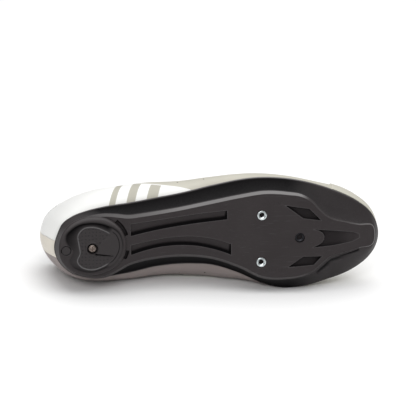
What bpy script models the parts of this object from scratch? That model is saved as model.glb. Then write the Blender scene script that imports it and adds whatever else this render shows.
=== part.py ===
"""Road cycling shoe for the right foot, lying on its inner side.

The shoe is worked out standing: heel at x = 0, toe along +x, inner side along +y, tread at z = 0.
The last section lays it down on its inner side, the way it comes to rest on a flat floor.
Tables hold shares: x in shares of LENGTH, y in shares of WIDTH, z in shares of HEIGHT.
"""

import math

import bmesh
import bpy
import numpy as np
from mathutils import Matrix, Vector
from mathutils.bvhtree import BVHTree

LENGTH = 0.285  # heel to toe, over the upper
WIDTH = 0.0935  # over the ball of the foot
HEIGHT = 0.100  # tread to the top of the tongue
SIZES = np.array([LENGTH, WIDTH, HEIGHT])
FIT_GAP = 0.0003  # between pieces that meet

STATIONS = 80  # places round the bite line, shared by sole and upper
UPPER_ROWS = 11

for obj in list(bpy.data.objects):
    bpy.data.objects.remove(obj)


# Materials

def material(name, colour, roughness, metallic=0.0):
    made = bpy.data.materials.new(name)
    made.use_nodes = True
    shader = made.node_tree.nodes["Principled BSDF"]
    shader.inputs["Base Color"].default_value = (*colour, 1.0)
    shader.inputs["Roughness"].default_value = roughness
    shader.inputs["Metallic"].default_value = metallic
    return made


SOLE_COMPOSITE = material("sole_composite", (0.035, 0.034, 0.036), 0.45)
PAD_RUBBER = material("pad_rubber", (0.045, 0.044, 0.045), 0.7)
STEEL = material("steel", (0.55, 0.57, 0.58), 0.3, 1.0)
UPPER_SYNTHETIC = material("upper_synthetic", (0.62, 0.61, 0.53), 0.5)
CAP_SYNTHETIC = material("cap_synthetic", (0.75, 0.74, 0.70), 0.4)
TONGUE_FABRIC = material("tongue_fabric", (0.35, 0.34, 0.32), 0.85)
INSOLE_FABRIC = material("insole_fabric", (0.08, 0.08, 0.09), 0.9)
STRAP_FABRIC = material("strap_fabric", (0.60, 0.59, 0.52), 0.7)


# Curves

def ease(at, places, values):
    """Smooth curve through table rows that never swings past a row."""
    places, values = np.asarray(places, float), np.asarray(values, float)
    step = np.diff(places)
    slope = np.diff(values) / step
    before, after = slope[:-1], slope[1:]
    agree = before * after > 0
    safe = np.where(agree, before + after, 1.0)
    inner = np.where(agree, 2 * before * after / safe, 0.0)
    tangent = np.concatenate([slope[:1], inner, slope[-1:]])
    at = np.clip(at, places[0], places[-1])
    i = np.clip(np.searchsorted(places, at, side="right") - 1, 0, len(step) - 1)
    t = (at - places[i]) / step[i]
    rise = values[i] + (values[i + 1] - values[i]) * (3 - 2 * t) * t * t
    bend = tangent[i] * (1 - t) - tangent[i + 1] * t
    lift = bend - (values[i + 1] - values[i]) / step[i] * (1 - 2 * t)
    return rise + lift * step[i] * t * (1 - t)


def column(table, name):
    """One named column of a table whose first row names its columns."""
    index = table[0].index(name)
    return np.array([row[index] for row in table[1:]])


def by_length(table, name):
    """A function of the share along the shoe, from one column of a table."""
    return lambda share: ease(share, column(table, "along"), column(table, name))


def smooth_closed(points, steps=24):
    """Dense points along a smooth closed curve through the given points."""
    p = np.asarray(points, float)
    ahead = np.roll(p, -1, 0)
    chord = np.linalg.norm(ahead - p, axis=1)[:, None]
    slope = (ahead - p) / chord
    chord_back, slope_back = np.roll(chord, 1, 0), np.roll(slope, 1, 0)
    tangent = (slope * chord_back + slope_back * chord) / (chord + chord_back)
    t = (np.arange(steps) / steps)[None, :, None]
    start = (2 * t**3 - 3 * t**2 + 1) * p[:, None]
    end = (3 * t**2 - 2 * t**3) * ahead[:, None]
    leave = (t**3 - 2 * t**2 + t) * (tangent * chord)[:, None]
    arrive = (t**3 - t**2) * (np.roll(tangent, -1, 0) * chord)[:, None]
    return (start + end + leave + arrive).reshape(-1, p.shape[1])


def station_angles(count):
    return 2 * np.pi * np.arange(count) / count


def plan_loop(table, heel, toe, count):
    """Stations round an outline: heel, outer side, toe, inner side. Both sides share their x."""
    along = column(table, "along")
    outer = list(zip(along, column(table, "outer")))
    inner = list(zip(along, column(table, "inner")))[::-1]
    curve = smooth_closed(np.array([heel, *outer, toe, *inner]) * SIZES[:2])
    curve = np.roll(curve, -int(curve[:, 0].argmin()), 0)
    tip = int(curve[:, 0].argmax())
    near, far = curve[: tip + 1], np.vstack([curve[tip:], curve[:1]])[::-1]
    angle = station_angles(count)
    x = curve[0, 0] + (curve[tip, 0] - curve[0, 0]) * (1 - np.cos(angle)) / 2
    y = np.where(angle <= np.pi, np.interp(x, *near.T), np.interp(x, *far.T))
    return np.stack([x, y], axis=1)


def outward(loop):
    """Unit vectors in plan that point away from a closed loop."""
    ahead = np.roll(loop[:, :2], -1, 0) - np.roll(loop[:, :2], 1, 0)
    normal = np.stack([ahead[:, 1], -ahead[:, 0]], axis=1)
    return normal / np.linalg.norm(normal, axis=1)[:, None]


def grown(loop, distance):
    return loop[:, :2] + outward(loop) * np.reshape(distance, (-1, 1))


def at_height(plan, z):
    return np.column_stack([plan[:, :2], np.broadcast_to(z, len(plan))])


def spine_of(loop, heel_inset, toe_inset):
    """The line along the middle of a loop that its cap closes on."""
    angle = station_angles(len(loop))
    mirrored = -np.arange(len(loop)) % len(loop)
    low, high = loop[:, 0].min() + heel_inset, loop[:, 0].max() - toe_inset
    x = low + (high - low) * (1 - np.cos(angle)) / 2
    middle = (loop[:, 1] + loop[mirrored, 1]) / 2
    order = np.argsort(loop[:, 0])
    y = np.interp(x, loop[order, 0], middle[order])
    x, y = np.round(x, 7), np.round(y, 7)
    return np.stack([x, y], axis=1)


# Solids

def solid(name, points, faces, look, sharp=40):
    """An object from points and faces, with its doubled points made one."""
    mesh = bpy.data.meshes.new(name)
    mesh.from_pydata([tuple(map(float, p)) for p in points], [], faces)
    form = bmesh.new()
    form.from_mesh(mesh)
    bmesh.ops.remove_doubles(form, verts=form.verts, dist=1e-6)
    bmesh.ops.dissolve_degenerate(form, edges=form.edges, dist=1e-7)
    bmesh.ops.recalc_face_normals(form, faces=form.faces)
    form.to_mesh(mesh)
    form.free()
    made = bpy.data.objects.new(name, mesh)
    bpy.context.scene.collection.objects.link(made)
    if look:
        mesh.materials.append(look)
    mesh.shade_smooth()
    mesh.set_sharp_from_angle(angle=math.radians(sharp))
    return made


def rings_solid(name, rings, look, closed_round=False):
    """A solid from closed rings of equal count. Open ends close on their ring, or the last joins the first."""
    count, levels = len(rings[0]), len(rings)
    points = np.concatenate(rings)
    faces = []
    for level in range(levels if closed_round else levels - 1):
        low, high = level * count, (level + 1) % levels * count
        for i in range(count):
            j = (i + 1) % count
            faces.append((low + i, low + j, high + j, high + i))
    if not closed_round:
        for end in (rings[0], rings[-1]):
            if len(np.unique(np.round(end, 6), axis=0)) > count * 0.7:
                start = 0 if end is rings[0] else (levels - 1) * count
                faces.append(tuple(range(start, start + count)))
    return solid(name, points, faces, look)


def slab(name, top, bottom, look):
    """A sheet with thickness, from two grids of equal size."""
    rows, across = top.shape[:2]
    points = np.concatenate([top.reshape(-1, 3), bottom.reshape(-1, 3)])
    half = rows * across
    faces = []
    for i in range(rows - 1):
        for j in range(across - 1):
            a = i * across + j
            quad = (a, a + 1, a + across + 1, a + across)
            faces.append(quad)
            faces.append(tuple(half + c for c in reversed(quad)))
    edge = [j for j in range(across)]
    edge += [i * across + across - 1 for i in range(1, rows)]
    edge += [(rows - 1) * across + j for j in range(across - 2, -1, -1)]
    edge += [i * across for i in range(rows - 2, 0, -1)]
    for a, b in zip(edge, edge[1:] + edge[:1]):
        faces.append((b, a, half + a, half + b))
    return solid(name, points, faces, look)


def turned(name, profile, centre, look, segments=24):
    """A round solid about a vertical axis, from a closed profile of (radius, height)."""
    angle = 2 * np.pi * np.arange(segments) / segments
    rings = [
        np.stack([centre[0] + r * np.cos(angle), centre[1] + r * np.sin(angle), np.full(segments, z)], 1)
        for r, z in profile
    ]
    return rings_solid(name, rings, look, closed_round=True)


def prism(name, outline, low, high):
    """A cutter with upright sides. The heights may differ from corner to corner."""
    outline = np.asarray(outline)
    return rings_solid(name, [at_height(outline, low), at_height(outline, high)], None)


def combine(target, others, operation):
    """Boolean of the target with each helper in turn. The helpers are removed."""
    for other in others:
        step = target.modifiers.new(other.name, "BOOLEAN")
        step.operation = operation
        step.solver = "EXACT"
        step.object = other
    graph = bpy.context.evaluated_depsgraph_get()
    mesh = bpy.data.meshes.new_from_object(target.evaluated_get(graph))
    target.modifiers.clear()
    target.data = mesh
    mesh.shade_smooth()
    mesh.set_sharp_from_angle(angle=math.radians(35))
    for other in others:
        bpy.data.objects.remove(other)


# Outsole: one stiff moulding, from the plate under the foot out to the edge that the upper meets

SOLE_HEEL, SOLE_TOE = (0.051, 0.026), (0.998, 0.048)
SOLE_EDGE = (
    ("along", "outer", "inner"),
    (0.062, -0.119, 0.132),
    (0.076, -0.200, 0.190),
    (0.103, -0.257, 0.256),
    (0.144, -0.300, 0.294),
    (0.192, -0.328, 0.300),
    (0.261, -0.347, 0.283),
    (0.344, -0.376, 0.249),
    (0.430, -0.416, 0.234),
    (0.515, -0.474, 0.258),
    (0.584, -0.520, 0.327),
    (0.653, -0.539, 0.425),
    (0.722, -0.522, 0.472),
    (0.790, -0.473, 0.455),
    (0.842, -0.415, 0.420),
    (0.893, -0.341, 0.374),
    (0.935, -0.263, 0.318),
    (0.966, -0.184, 0.252),
    (0.986, -0.100, 0.180),
)
EDGE_HEIGHT = (
    ("along", "outer", "inner"),
    (0.051, 0.157, 0.157),
    (0.150, 0.170, 0.172),
    (0.260, 0.200, 0.215),
    (0.370, 0.232, 0.268),
    (0.480, 0.228, 0.262),
    (0.584, 0.186, 0.200),
    (0.690, 0.163, 0.158),
    (0.775, 0.172, 0.163),
    (0.860, 0.206, 0.198),
    (0.930, 0.250, 0.246),
    (0.998, 0.294, 0.294),
)
PLATE_HEEL, PLATE_TOE = (0.068, 0.010), (0.984, 0.033)
PLATE_EDGE = (
    ("along", "outer", "inner"),
    (0.076, -0.130, 0.115),
    (0.103, -0.215, 0.205),
    (0.144, -0.262, 0.255),
    (0.192, -0.278, 0.255),
    (0.230, -0.265, 0.205),
    (0.261, -0.250, 0.155),
    (0.300, -0.254, 0.128),
    (0.344, -0.264, 0.114),
    (0.430, -0.298, 0.109),
    (0.515, -0.349, 0.144),
    (0.584, -0.393, 0.220),
    (0.653, -0.424, 0.322),
    (0.722, -0.408, 0.338),
    (0.765, -0.382, 0.322),
    (0.790, -0.337, 0.295),
    (0.812, -0.262, 0.250),
    (0.842, -0.177, 0.180),
    (0.893, -0.116, 0.150),
    (0.935, -0.075, 0.130),
    (0.978, -0.045, 0.112),
)
PLATE = (
    ("along", "height", "strip", "curve"),
    (0.051, 0.049, 0.016, 1.2),
    (0.260, 0.059, 0.024, 1.0),
    (0.310, 0.083, 0.024, 1.0),
    (0.378, 0.103, 0.024, 1.0),
    (0.447, 0.103, 0.024, 1.0),
    (0.515, 0.080, 0.024, 1.0),
    (0.584, 0.050, 0.024, 1.1),
    (0.640, 0.030, 0.024, 1.2),
    (0.770, 0.030, 0.020, 1.5),
    (0.808, 0.042, 0.012, 1.8),
    (0.860, 0.078, 0.010, 2.0),
    (0.910, 0.122, 0.010, 2.0),
    (0.955, 0.172, 0.009, 1.8),
    (0.984, 0.208, 0.008, 1.4),
)
FOOTBED = (
    ("along", "middle", "edge"),
    (0.050, 0.104, 0.125),
    (0.200, 0.104, 0.128),
    (0.350, 0.142, 0.185),
    (0.450, 0.147, 0.190),
    (0.550, 0.112, 0.150),
    (0.650, 0.074, 0.115),
    (0.770, 0.075, 0.122),
    (0.860, 0.132, 0.182),
    (0.930, 0.205, 0.236),
    (0.998, 0.275, 0.285),
)
STRIP_RISE = 0.0026  # chamfer along the plate's edge
RIM_RISE = 0.0012  # thickness of the sole's lip
RIM_IN = 0.0036  # width of the rim that carries the upper
WALL_STEPS = (0.30, 0.60, 0.85)
BED_STEPS = (1.0, 0.6, 0.0)
HEEL_INSET, TOE_INSET = 0.085 * LENGTH, 0.100 * LENGTH


def plate_height(x):
    return by_length(PLATE, "height")(x / LENGTH) * HEIGHT


def edge_loop(count):
    """The sole's outer edge, where the upper's bite line runs."""
    plan = plan_loop(SOLE_EDGE, SOLE_HEEL, SOLE_TOE, count)
    share = plan[:, 0] / LENGTH
    outer = by_length(EDGE_HEIGHT, "outer")(share)
    inner = by_length(EDGE_HEIGHT, "inner")(share)
    return at_height(plan, np.where(station_angles(count) <= np.pi, outer, inner) * HEIGHT)


def footbed_rings(count, inset, lift):
    """Rings of the footbed from its edge to its spine, a given height above the sole's top."""
    edge = edge_loop(count)
    plan = grown(edge, -inset)
    spine = spine_of(plan, HEEL_INSET, TOE_INSET)
    rings = []
    for step in BED_STEPS:
        ring = spine + (plan - spine) * step
        share = ring[:, 0] / LENGTH
        middle, side = by_length(FOOTBED, "middle")(share), by_length(FOOTBED, "edge")(share)
        rings.append(at_height(ring, (middle + (side - middle) * step**2) * HEIGHT + lift))
    return rings


plate_plan = plan_loop(PLATE_EDGE, PLATE_HEEL, PLATE_TOE, STATIONS)
plate_spine = spine_of(plate_plan, HEEL_INSET, 0.02 * LENGTH)
sole_rings = []
for step in (0.0, 0.35, 0.7, 1.0):
    ring = plate_spine + (plate_plan - plate_spine) * step
    sole_rings.append(at_height(ring, plate_height(ring[:, 0])))
share = plate_plan[:, 0] / LENGTH
strip = grown(plate_plan, by_length(PLATE, "strip")(share) * WIDTH)
strip = at_height(strip, sole_rings[-1][:, 2] + STRIP_RISE)
sole_rings.append(strip)
edge = edge_loop(STATIONS)
power = by_length(PLATE, "curve")(share)
for step in WALL_STEPS:
    plan = strip[:, :2] + (edge[:, :2] - strip[:, :2]) * step
    sole_rings.append(at_height(plan, strip[:, 2] + (edge[:, 2] - strip[:, 2]) * step**power))
sole_rings.append(edge)
sole_rings.append(at_height(grown(edge, -0.0002), edge[:, 2] + RIM_RISE))
sole_rings.append(at_height(grown(edge, -RIM_IN), edge[:, 2] + RIM_RISE))
sole_rings += footbed_rings(STATIONS, RIM_IN + 0.0006, 0.0)
outsole = rings_solid("outsole", sole_rings, SOLE_COMPOSITE)

# The heel block is a round raised ring under the heel, part of the sole
HEEL_BLOCK = np.array((
    (0.058, 0.000), (0.066, -0.120), (0.085, -0.205), (0.115, -0.262), (0.158, -0.285),
    (0.205, -0.255), (0.237, -0.175), (0.254, -0.040), (0.248, 0.080), (0.224, 0.170),
    (0.186, 0.228), (0.150, 0.245), (0.110, 0.225), (0.080, 0.165), (0.063, 0.085),
)) * SIZES[:2]
BLOCK_FACE, BLOCK_ROOT = 0.020 * HEIGHT, 0.078 * HEIGHT
BLOCK_ROUND = 0.0012
block_plan = smooth_closed(HEEL_BLOCK, 4)
heel_block = rings_solid("heel_block", [
    at_height(grown(block_plan, -BLOCK_ROUND), BLOCK_FACE),
    at_height(grown(block_plan, -0.3 * BLOCK_ROUND), BLOCK_FACE + 0.3 * BLOCK_ROUND),
    at_height(block_plan, BLOCK_FACE + BLOCK_ROUND),
    at_height(block_plan, BLOCK_ROOT),
], None)
combine(outsole, [heel_block], "UNION")

# Cutters of the sole's underside: grooves, vents, toe recess, seats and holes
PAD_OUTLINE = np.array((
    (0.083, -0.091), (0.084, -0.130), (0.096, -0.171), (0.115, -0.209), (0.152, -0.227),
    (0.198, -0.198), (0.229, -0.129), (0.238, -0.011), (0.222, 0.103), (0.184, 0.180),
    (0.146, 0.204), (0.113, 0.176), (0.098, 0.143), (0.092, 0.097), (0.099, 0.055),
    (0.103, 0.012), (0.094, -0.030),
)) * SIZES[:2]
SEAT_FLOOR = 0.032 * HEIGHT
PLUG_CENTRE = np.array((0.080, 0.007)) * SIZES[:2]
PLUG_RADIUS, PLUG_SEAT = 0.0037, 0.045 * HEIGHT
SCREW_CENTRE = np.array((0.155, -0.005)) * SIZES[:2]
SHANK_RADIUS, SHANK_TOP = 0.0019, 0.088 * HEIGHT
GROOVE_DEPTH = 0.0024
OUTER_GROOVE = (
    ("along", "outer", "inner"),
    (0.268, -0.198, -0.089),
    (0.350, -0.215, -0.128),
    (0.444, -0.246, -0.164),
    (0.548, -0.281, -0.201),
)
INNER_GROOVE = (
    ("along", "outer", "inner"),
    (0.268, -0.006, 0.083),
    (0.347, -0.042, 0.032),
    (0.442, -0.051, 0.031),
    (0.488, -0.040, 0.050),
    (0.558, 0.022, 0.121),
)
OUTER_VENT = ((0.717, -0.311), (0.786, -0.272), (0.821, -0.158), (0.768, -0.189))
INNER_VENT = ((0.766, 0.158), (0.822, 0.167), (0.797, 0.238), (0.722, 0.248))
VENT_DEPTH = 0.0028
TOE_RECESS = (
    ("along", "across", "depth"),
    (0.800, -0.082, 0.0010),
    (0.824, -0.045, 0.0024),
    (0.830, -0.010, 0.0026),
    (0.824, 0.028, 0.0024),
    (0.796, 0.080, 0.0010),
    (0.860, 0.078, 0.0022),
    (0.915, 0.064, 0.0010),
    (0.937, 0.040, 0.0004),
    (0.935, 0.005, 0.0004),
    (0.915, -0.020, 0.0010),
    (0.860, -0.052, 0.0022),
)
TOE_SLIT = (
    (0.806, 0.312), (0.850, 0.206), (0.893, 0.178), (0.935, 0.150),
    (0.935, 0.158), (0.893, 0.192), (0.853, 0.224), (0.813, 0.322),
)
SLIT_DEPTH = STRIP_RISE + 0.0014
NUTS = {
    "cleat_nut_outer": (0.648, -0.232),
    "cleat_nut_inner": (0.644, 0.192),
    "cleat_nut_front": (0.757, -0.015),
}
NUT_RADIUS, NUT_BORE, NUT_ROOF = 0.0040, 0.0024, 0.062 * HEIGHT
BELOW = -0.01 * HEIGHT


def groove_cutter(name, table):
    along = column(table, "along")
    share = np.linspace(along[0], along[-1], 11)
    outer = np.column_stack([share, by_length(table, "outer")(share)]) * SIZES[:2]
    inner = np.column_stack([share, by_length(table, "inner")(share)]) * SIZES[:2]
    outline = np.concatenate([outer, inner[::-1]])
    heights = plate_height(outline[:, 0])
    low, high = at_height(outline, heights - 0.003), at_height(outline, heights + GROOVE_DEPTH)
    count = len(outline)
    points = np.concatenate([low, high])
    faces = [(i, (i + 1) % count, count + (i + 1) % count, count + i) for i in range(count)]
    for i in range(count // 2 - 1):
        far = count - 1 - i
        faces.append((i, i + 1, far - 1, far))
        faces.append((count + far, count + far - 1, count + i + 1, count + i))
    return solid(name, points, faces, None)


def outline_cutter(name, outline, depth):
    """A cutter whose roof follows the plate, a given depth above it."""
    outline = np.asarray(outline) * SIZES[:2]
    made = prism(name, outline, BELOW, plate_height(outline[:, 0]) + depth)
    form = bmesh.new()
    form.from_mesh(made.data)
    bmesh.ops.triangulate(form, faces=[f for f in form.faces if len(f.verts) > 4])
    form.to_mesh(made.data)
    form.free()
    return made


def hole_cutter(name, centre, radius, low, high, segments=24):
    return turned(name, ((0, low), (radius, low), (radius, high), (0, high)), centre, None, segments)


recess_outline = np.column_stack([column(TOE_RECESS, "along"), column(TOE_RECESS, "across")])
pad_plan = smooth_closed(PAD_OUTLINE, 3)
cutters = [
    groove_cutter("outer_groove", OUTER_GROOVE),
    groove_cutter("inner_groove", INNER_GROOVE),
    outline_cutter("outer_vent", OUTER_VENT, VENT_DEPTH),
    outline_cutter("inner_vent", INNER_VENT, VENT_DEPTH),
    outline_cutter("toe_recess", recess_outline, column(TOE_RECESS, "depth")),
    outline_cutter("toe_slit", TOE_SLIT, SLIT_DEPTH),
    prism("pad_seat", grown(pad_plan, FIT_GAP), BELOW, SEAT_FLOOR),
    hole_cutter("plug_seat", PLUG_CENTRE, PLUG_RADIUS + FIT_GAP, BELOW, PLUG_SEAT),
    hole_cutter("screw_hole", SCREW_CENTRE, SHANK_RADIUS + FIT_GAP, BELOW, SHANK_TOP + FIT_GAP, 16),
]
for name, place in NUTS.items():
    centre = np.array(place) * SIZES[:2]
    cutters.append(hole_cutter(name + "_hole", centre, NUT_RADIUS + FIT_GAP, BELOW, NUT_ROOF + FIT_GAP))
combine(outsole, cutters, "DIFFERENCE")

# Heel pad: round rubber tread, held by one screw, with a bite round the plug
PAD_ROUND = 0.0007
HEAD_BORE = 0.0044
pad_roof = SEAT_FLOOR - FIT_GAP
heel_pad = rings_solid("heel_pad", [
    at_height(grown(pad_plan, -PAD_ROUND), 0.0),
    at_height(pad_plan, PAD_ROUND),
    at_height(pad_plan, pad_roof),
], PAD_RUBBER)
combine(heel_pad, [hole_cutter("head_bore", SCREW_CENTRE, HEAD_BORE, -0.001, pad_roof + 0.001)], "DIFFERENCE")

# Plug: round button in its own seat behind the pad
turned("heel_plug", (
    (0, BLOCK_FACE), (PLUG_RADIUS - 0.0005, BLOCK_FACE), (PLUG_RADIUS, BLOCK_FACE + 0.0005),
    (PLUG_RADIUS, PLUG_SEAT - FIT_GAP), (0, PLUG_SEAT - FIT_GAP),
), PLUG_CENTRE, PAD_RUBBER, 24)

# Screw: pan head with a cross recess, shank up into the sole
HEAD_RADIUS, HEAD_FACE = 0.0032, 0.008 * HEIGHT
heel_screw = turned("heel_screw", (
    (0, HEAD_FACE), (HEAD_RADIUS - 0.0009, HEAD_FACE + 0.0001), (HEAD_RADIUS, HEAD_FACE + 0.0008),
    (HEAD_RADIUS, pad_roof), (SHANK_RADIUS, pad_roof), (SHANK_RADIUS, SHANK_TOP), (0, SHANK_TOP),
), SCREW_CENTRE, STEEL, 24)
CROSS_LONG, CROSS_WIDE, CROSS_DEEP = 0.0019, 0.00045, 0.0010
crosses = []
for name, half_x, half_y in (("cross_x", CROSS_LONG, CROSS_WIDE), ("cross_y", CROSS_WIDE, CROSS_LONG)):
    corners = np.array(((-half_x, -half_y), (half_x, -half_y), (half_x, half_y), (-half_x, half_y)))
    crosses.append(prism(name, corners + SCREW_CENTRE, BELOW, HEAD_FACE + CROSS_DEEP))
combine(heel_screw, crosses, "DIFFERENCE")

# Cleat nuts: round threaded barrels in the forefoot. The front one sits deeper
NUT_FACE = {"cleat_nut_outer": 0.0285, "cleat_nut_inner": 0.0285, "cleat_nut_front": 0.042}
for name, place in NUTS.items():
    low, round_off = NUT_FACE[name] * HEIGHT, 0.0004
    turned(name, (
        (NUT_BORE, low + round_off), (NUT_BORE + round_off, low), (NUT_RADIUS - round_off, low),
        (NUT_RADIUS, low + round_off), (NUT_RADIUS, NUT_ROOF), (NUT_BORE, NUT_ROOF),
    ), np.array(place) * SIZES[:2], STEEL)

# Upper: each station's profile is a curve from the bite line up to the rim of the collar or throat.
# "out" and "lift" steer it at the bite line, "back", "side" and "drop" steer it at the rim.

UPPER_COLUMNS = ("along", "out", "lift", "rim_x", "rim_y", "rim_z", "back", "side", "drop", "pad")
UPPER_OUTER = (
    UPPER_COLUMNS,
    (0.051, 0.118, 0.088, 0.031, 0.010, 0.745, -0.020, 0.000, -0.255, 1.5),
    (0.062, 0.060, 0.088, 0.043, -0.115, 0.740, -0.024, -0.020, -0.245, 1.5),
    (0.082, 0.055, 0.088, 0.069, -0.199, 0.725, -0.016, -0.045, -0.235, 1.5),
    (0.124, 0.085, 0.088, 0.113, -0.275, 0.691, -0.007, -0.110, -0.216, 1.5),
    (0.192, 0.155, 0.088, 0.179, -0.320, 0.637, 0.000, -0.157, -0.196, 1.5),
    (0.275, 0.165, 0.098, 0.261, -0.320, 0.625, 0.000, -0.189, -0.196, 1.5),
    (0.344, 0.185, 0.108, 0.333, -0.270, 0.701, 0.000, -0.231, -0.206, 1.0),
    (0.395, 0.175, 0.127, 0.378, -0.203, 0.814, 0.000, -0.241, -0.235, 0.4),
    (0.447, 0.145, 0.137, 0.430, -0.185, 0.794, 0.003, -0.252, -0.206, 0.1),
    (0.515, 0.135, 0.150, 0.485, -0.168, 0.735, 0.010, -0.262, -0.167, 0.0),
    (0.584, 0.105, 0.160, 0.533, -0.153, 0.676, 0.021, -0.275, -0.137, 0.0),
    (0.653, 0.080, 0.175, 0.574, -0.139, 0.627, 0.031, -0.288, -0.118, 0.0),
    (0.729, 0.060, 0.185, 0.608, -0.118, 0.591, 0.048, -0.295, -0.098, 0.0),
    (0.811, 0.065, 0.188, 0.636, -0.089, 0.564, 0.089, -0.290, -0.088, 0.0),
    (0.900, 0.135, 0.195, 0.653, -0.052, 0.547, 0.144, -0.265, -0.083, 0.0),
    (0.966, 0.130, 0.180, 0.660, -0.021, 0.540, 0.186, -0.165, -0.078, 0.0),
    (0.998, 0.040, 0.165, 0.662, 0.010, 0.539, 0.206, 0.021, -0.078, 0.0),
)
UPPER_INNER = (
    UPPER_COLUMNS,
    (0.062, 0.035, 0.080, 0.043, 0.131, 0.740, -0.024, 0.063, -0.245, 1.5),
    (0.082, 0.062, 0.075, 0.069, 0.215, 0.725, -0.016, 0.084, -0.235, 1.5),
    (0.124, 0.085, 0.070, 0.113, 0.300, 0.691, -0.007, 0.050, -0.310, 1.5),
    (0.192, 0.110, 0.070, 0.179, 0.345, 0.642, 0.000, 0.045, -0.300, 1.5),
    (0.275, 0.135, 0.080, 0.261, 0.348, 0.647, 0.000, 0.045, -0.300, 1.5),
    (0.344, 0.190, 0.095, 0.333, 0.305, 0.720, 0.000, 0.070, -0.330, 1.0),
    (0.395, 0.232, 0.100, 0.378, 0.236, 0.833, 0.000, 0.136, -0.235, 0.4),
    (0.447, 0.280, 0.100, 0.430, 0.220, 0.804, 0.003, 0.157, -0.206, 0.1),
    (0.515, 0.280, 0.105, 0.485, 0.194, 0.745, 0.010, 0.189, -0.167, 0.0),
    (0.584, 0.205, 0.120, 0.533, 0.173, 0.686, 0.021, 0.220, -0.137, 0.0),
    (0.653, 0.065, 0.150, 0.574, 0.155, 0.632, 0.031, 0.225, -0.118, 0.0),
    (0.729, -0.005, 0.157, 0.608, 0.134, 0.593, 0.048, 0.215, -0.098, 0.0),
    (0.811, 0.000, 0.157, 0.636, 0.103, 0.567, 0.089, 0.200, -0.088, 0.0),
    (0.900, 0.010, 0.157, 0.653, 0.068, 0.549, 0.144, 0.178, -0.083, 0.0),
    (0.966, 0.010, 0.147, 0.660, 0.037, 0.541, 0.186, 0.115, -0.078, 0.0),
)
UPPER_WALL = 0.0026
UPPER_INSET = 0.0008  # the sole's lip stands this far out past the upper
PAD_WALL = 0.0020  # thickness that one unit of "pad" adds at the collar


def station_of(along, inner):
    """Where a row of the table stands on the way round the bite line."""
    share = np.clip((along - SOLE_HEEL[0]) / (SOLE_TOE[0] - SOLE_HEEL[0]), 0, 1)
    place = STATIONS * np.arccos(1 - 2 * share) / (2 * np.pi)
    return STATIONS - place if inner else place


def around(name):
    """One column of both tables, carried smoothly round all stations."""
    outer, inner = column(UPPER_OUTER, name), column(UPPER_INNER, name)[::-1]
    places = np.concatenate([
        station_of(column(UPPER_OUTER, "along"), False),
        station_of(column(UPPER_INNER, "along"), True)[::-1],
    ])
    values = np.concatenate([outer, inner])
    places = np.concatenate([places[-3:] - STATIONS, places, places[:3] + STATIONS])
    values = np.concatenate([values[-3:], values, values[:3]])
    return ease(np.arange(STATIONS), places, values)


def grid_normals(grid, closed):
    """Outward unit normals of a grid whose rows climb and whose columns run round the shoe."""
    if closed:
        round_step = np.roll(grid, -1, 1) - np.roll(grid, 1, 1)
    else:
        round_step = np.gradient(grid, axis=1)
    normal = np.cross(round_step, np.gradient(grid, axis=0))
    return normal / np.linalg.norm(normal, axis=2)[:, :, None]


upper_edge = edge_loop(STATIONS)
foot = at_height(grown(upper_edge, -UPPER_INSET), upper_edge[:, 2] + RIM_RISE + FIT_GAP)
rim = np.stack([around("rim_x"), around("rim_y"), around("rim_z")], axis=1) * SIZES
low_handle = foot + np.column_stack([
    outward(upper_edge) * around("out")[:, None] * WIDTH,
    around("lift") * HEIGHT,
])
rim_handle = rim + np.stack([around("back"), around("side"), around("drop")], axis=1) * SIZES
t = np.linspace(0, 1, UPPER_ROWS + 1)[:, None, None]
outer_skin = (
    (1 - t) ** 3 * foot + 3 * t * (1 - t) ** 2 * low_handle
    + 3 * t * t * (1 - t) * rim_handle + t**3 * rim
)
skin_normals = grid_normals(outer_skin, True)
swell = np.clip((t[:, :, 0] - 0.55) / 0.3, 0, 1)
wall = UPPER_WALL + PAD_WALL * around("pad")[None, :] * swell * swell * (3 - 2 * swell)
inner_skin = outer_skin - skin_normals * wall[:, :, None]
inner_skin[0] = at_height(grown(foot, -UPPER_WALL), foot[:, 2])
rim_round = (outer_skin[-1] + inner_skin[-1]) / 2
climb = outer_skin[-1] - outer_skin[-2]
climb /= np.linalg.norm(climb, axis=1)[:, None]
rim_round = rim_round + climb * wall[-1][:, None] * 0.4
upper_rings = [*outer_skin, rim_round, *inner_skin[::-1]]
rings_solid("upper", upper_rings, UPPER_SYNTHETIC, closed_round=True)

# Toe cap: thin moulded shell over the toe, cut between two forms a step outside the upper
CAP_WALL = 0.0010
CAP_FIRST, CAP_ROWS = round(0.345 * STATIONS), 9
CAP_LAST = STATIONS - CAP_FIRST
CAP_REAR = ((0.866, -0.60), (0.858, -0.30), (0.845, 0.00), (0.842, 0.30), (0.848, 0.60))
cap_grid = outer_skin[:CAP_ROWS, CAP_FIRST : CAP_LAST + 1].copy()
cap_grid[0] += (cap_grid[1] - cap_grid[0]) * 0.15
cap_normals = skin_normals[:CAP_ROWS, CAP_FIRST : CAP_LAST + 1]
toe_cap = slab(
    "toe_cap",
    cap_grid + cap_normals * (FIT_GAP + CAP_WALL),
    cap_grid + cap_normals * FIT_GAP,
    CAP_SYNTHETIC,
)
cap_side = np.array((*CAP_REAR, (1.10, 0.60), (1.10, -0.60))) * SIZES[:2]
combine(toe_cap, [prism("cap_bound", cap_side, 0.0, HEIGHT)], "INTERSECT")


# Bridges over the throat: the tongue under the upper's edge and the straps over it

def skin_at(x, inner):
    """The upper's outer line at one place along the shoe, from the bite line up to the rim."""
    half = STATIONS // 2
    line = []
    for row in outer_skin:
        side = row[half:][::-1] if inner else row[: half + 1]
        if side[:, 0].min() <= x <= side[:, 0].max():
            line.append([x, np.interp(x, side[:, 0], side[:, 1]), np.interp(x, side[:, 0], side[:, 2])])
    return np.array(line)


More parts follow.
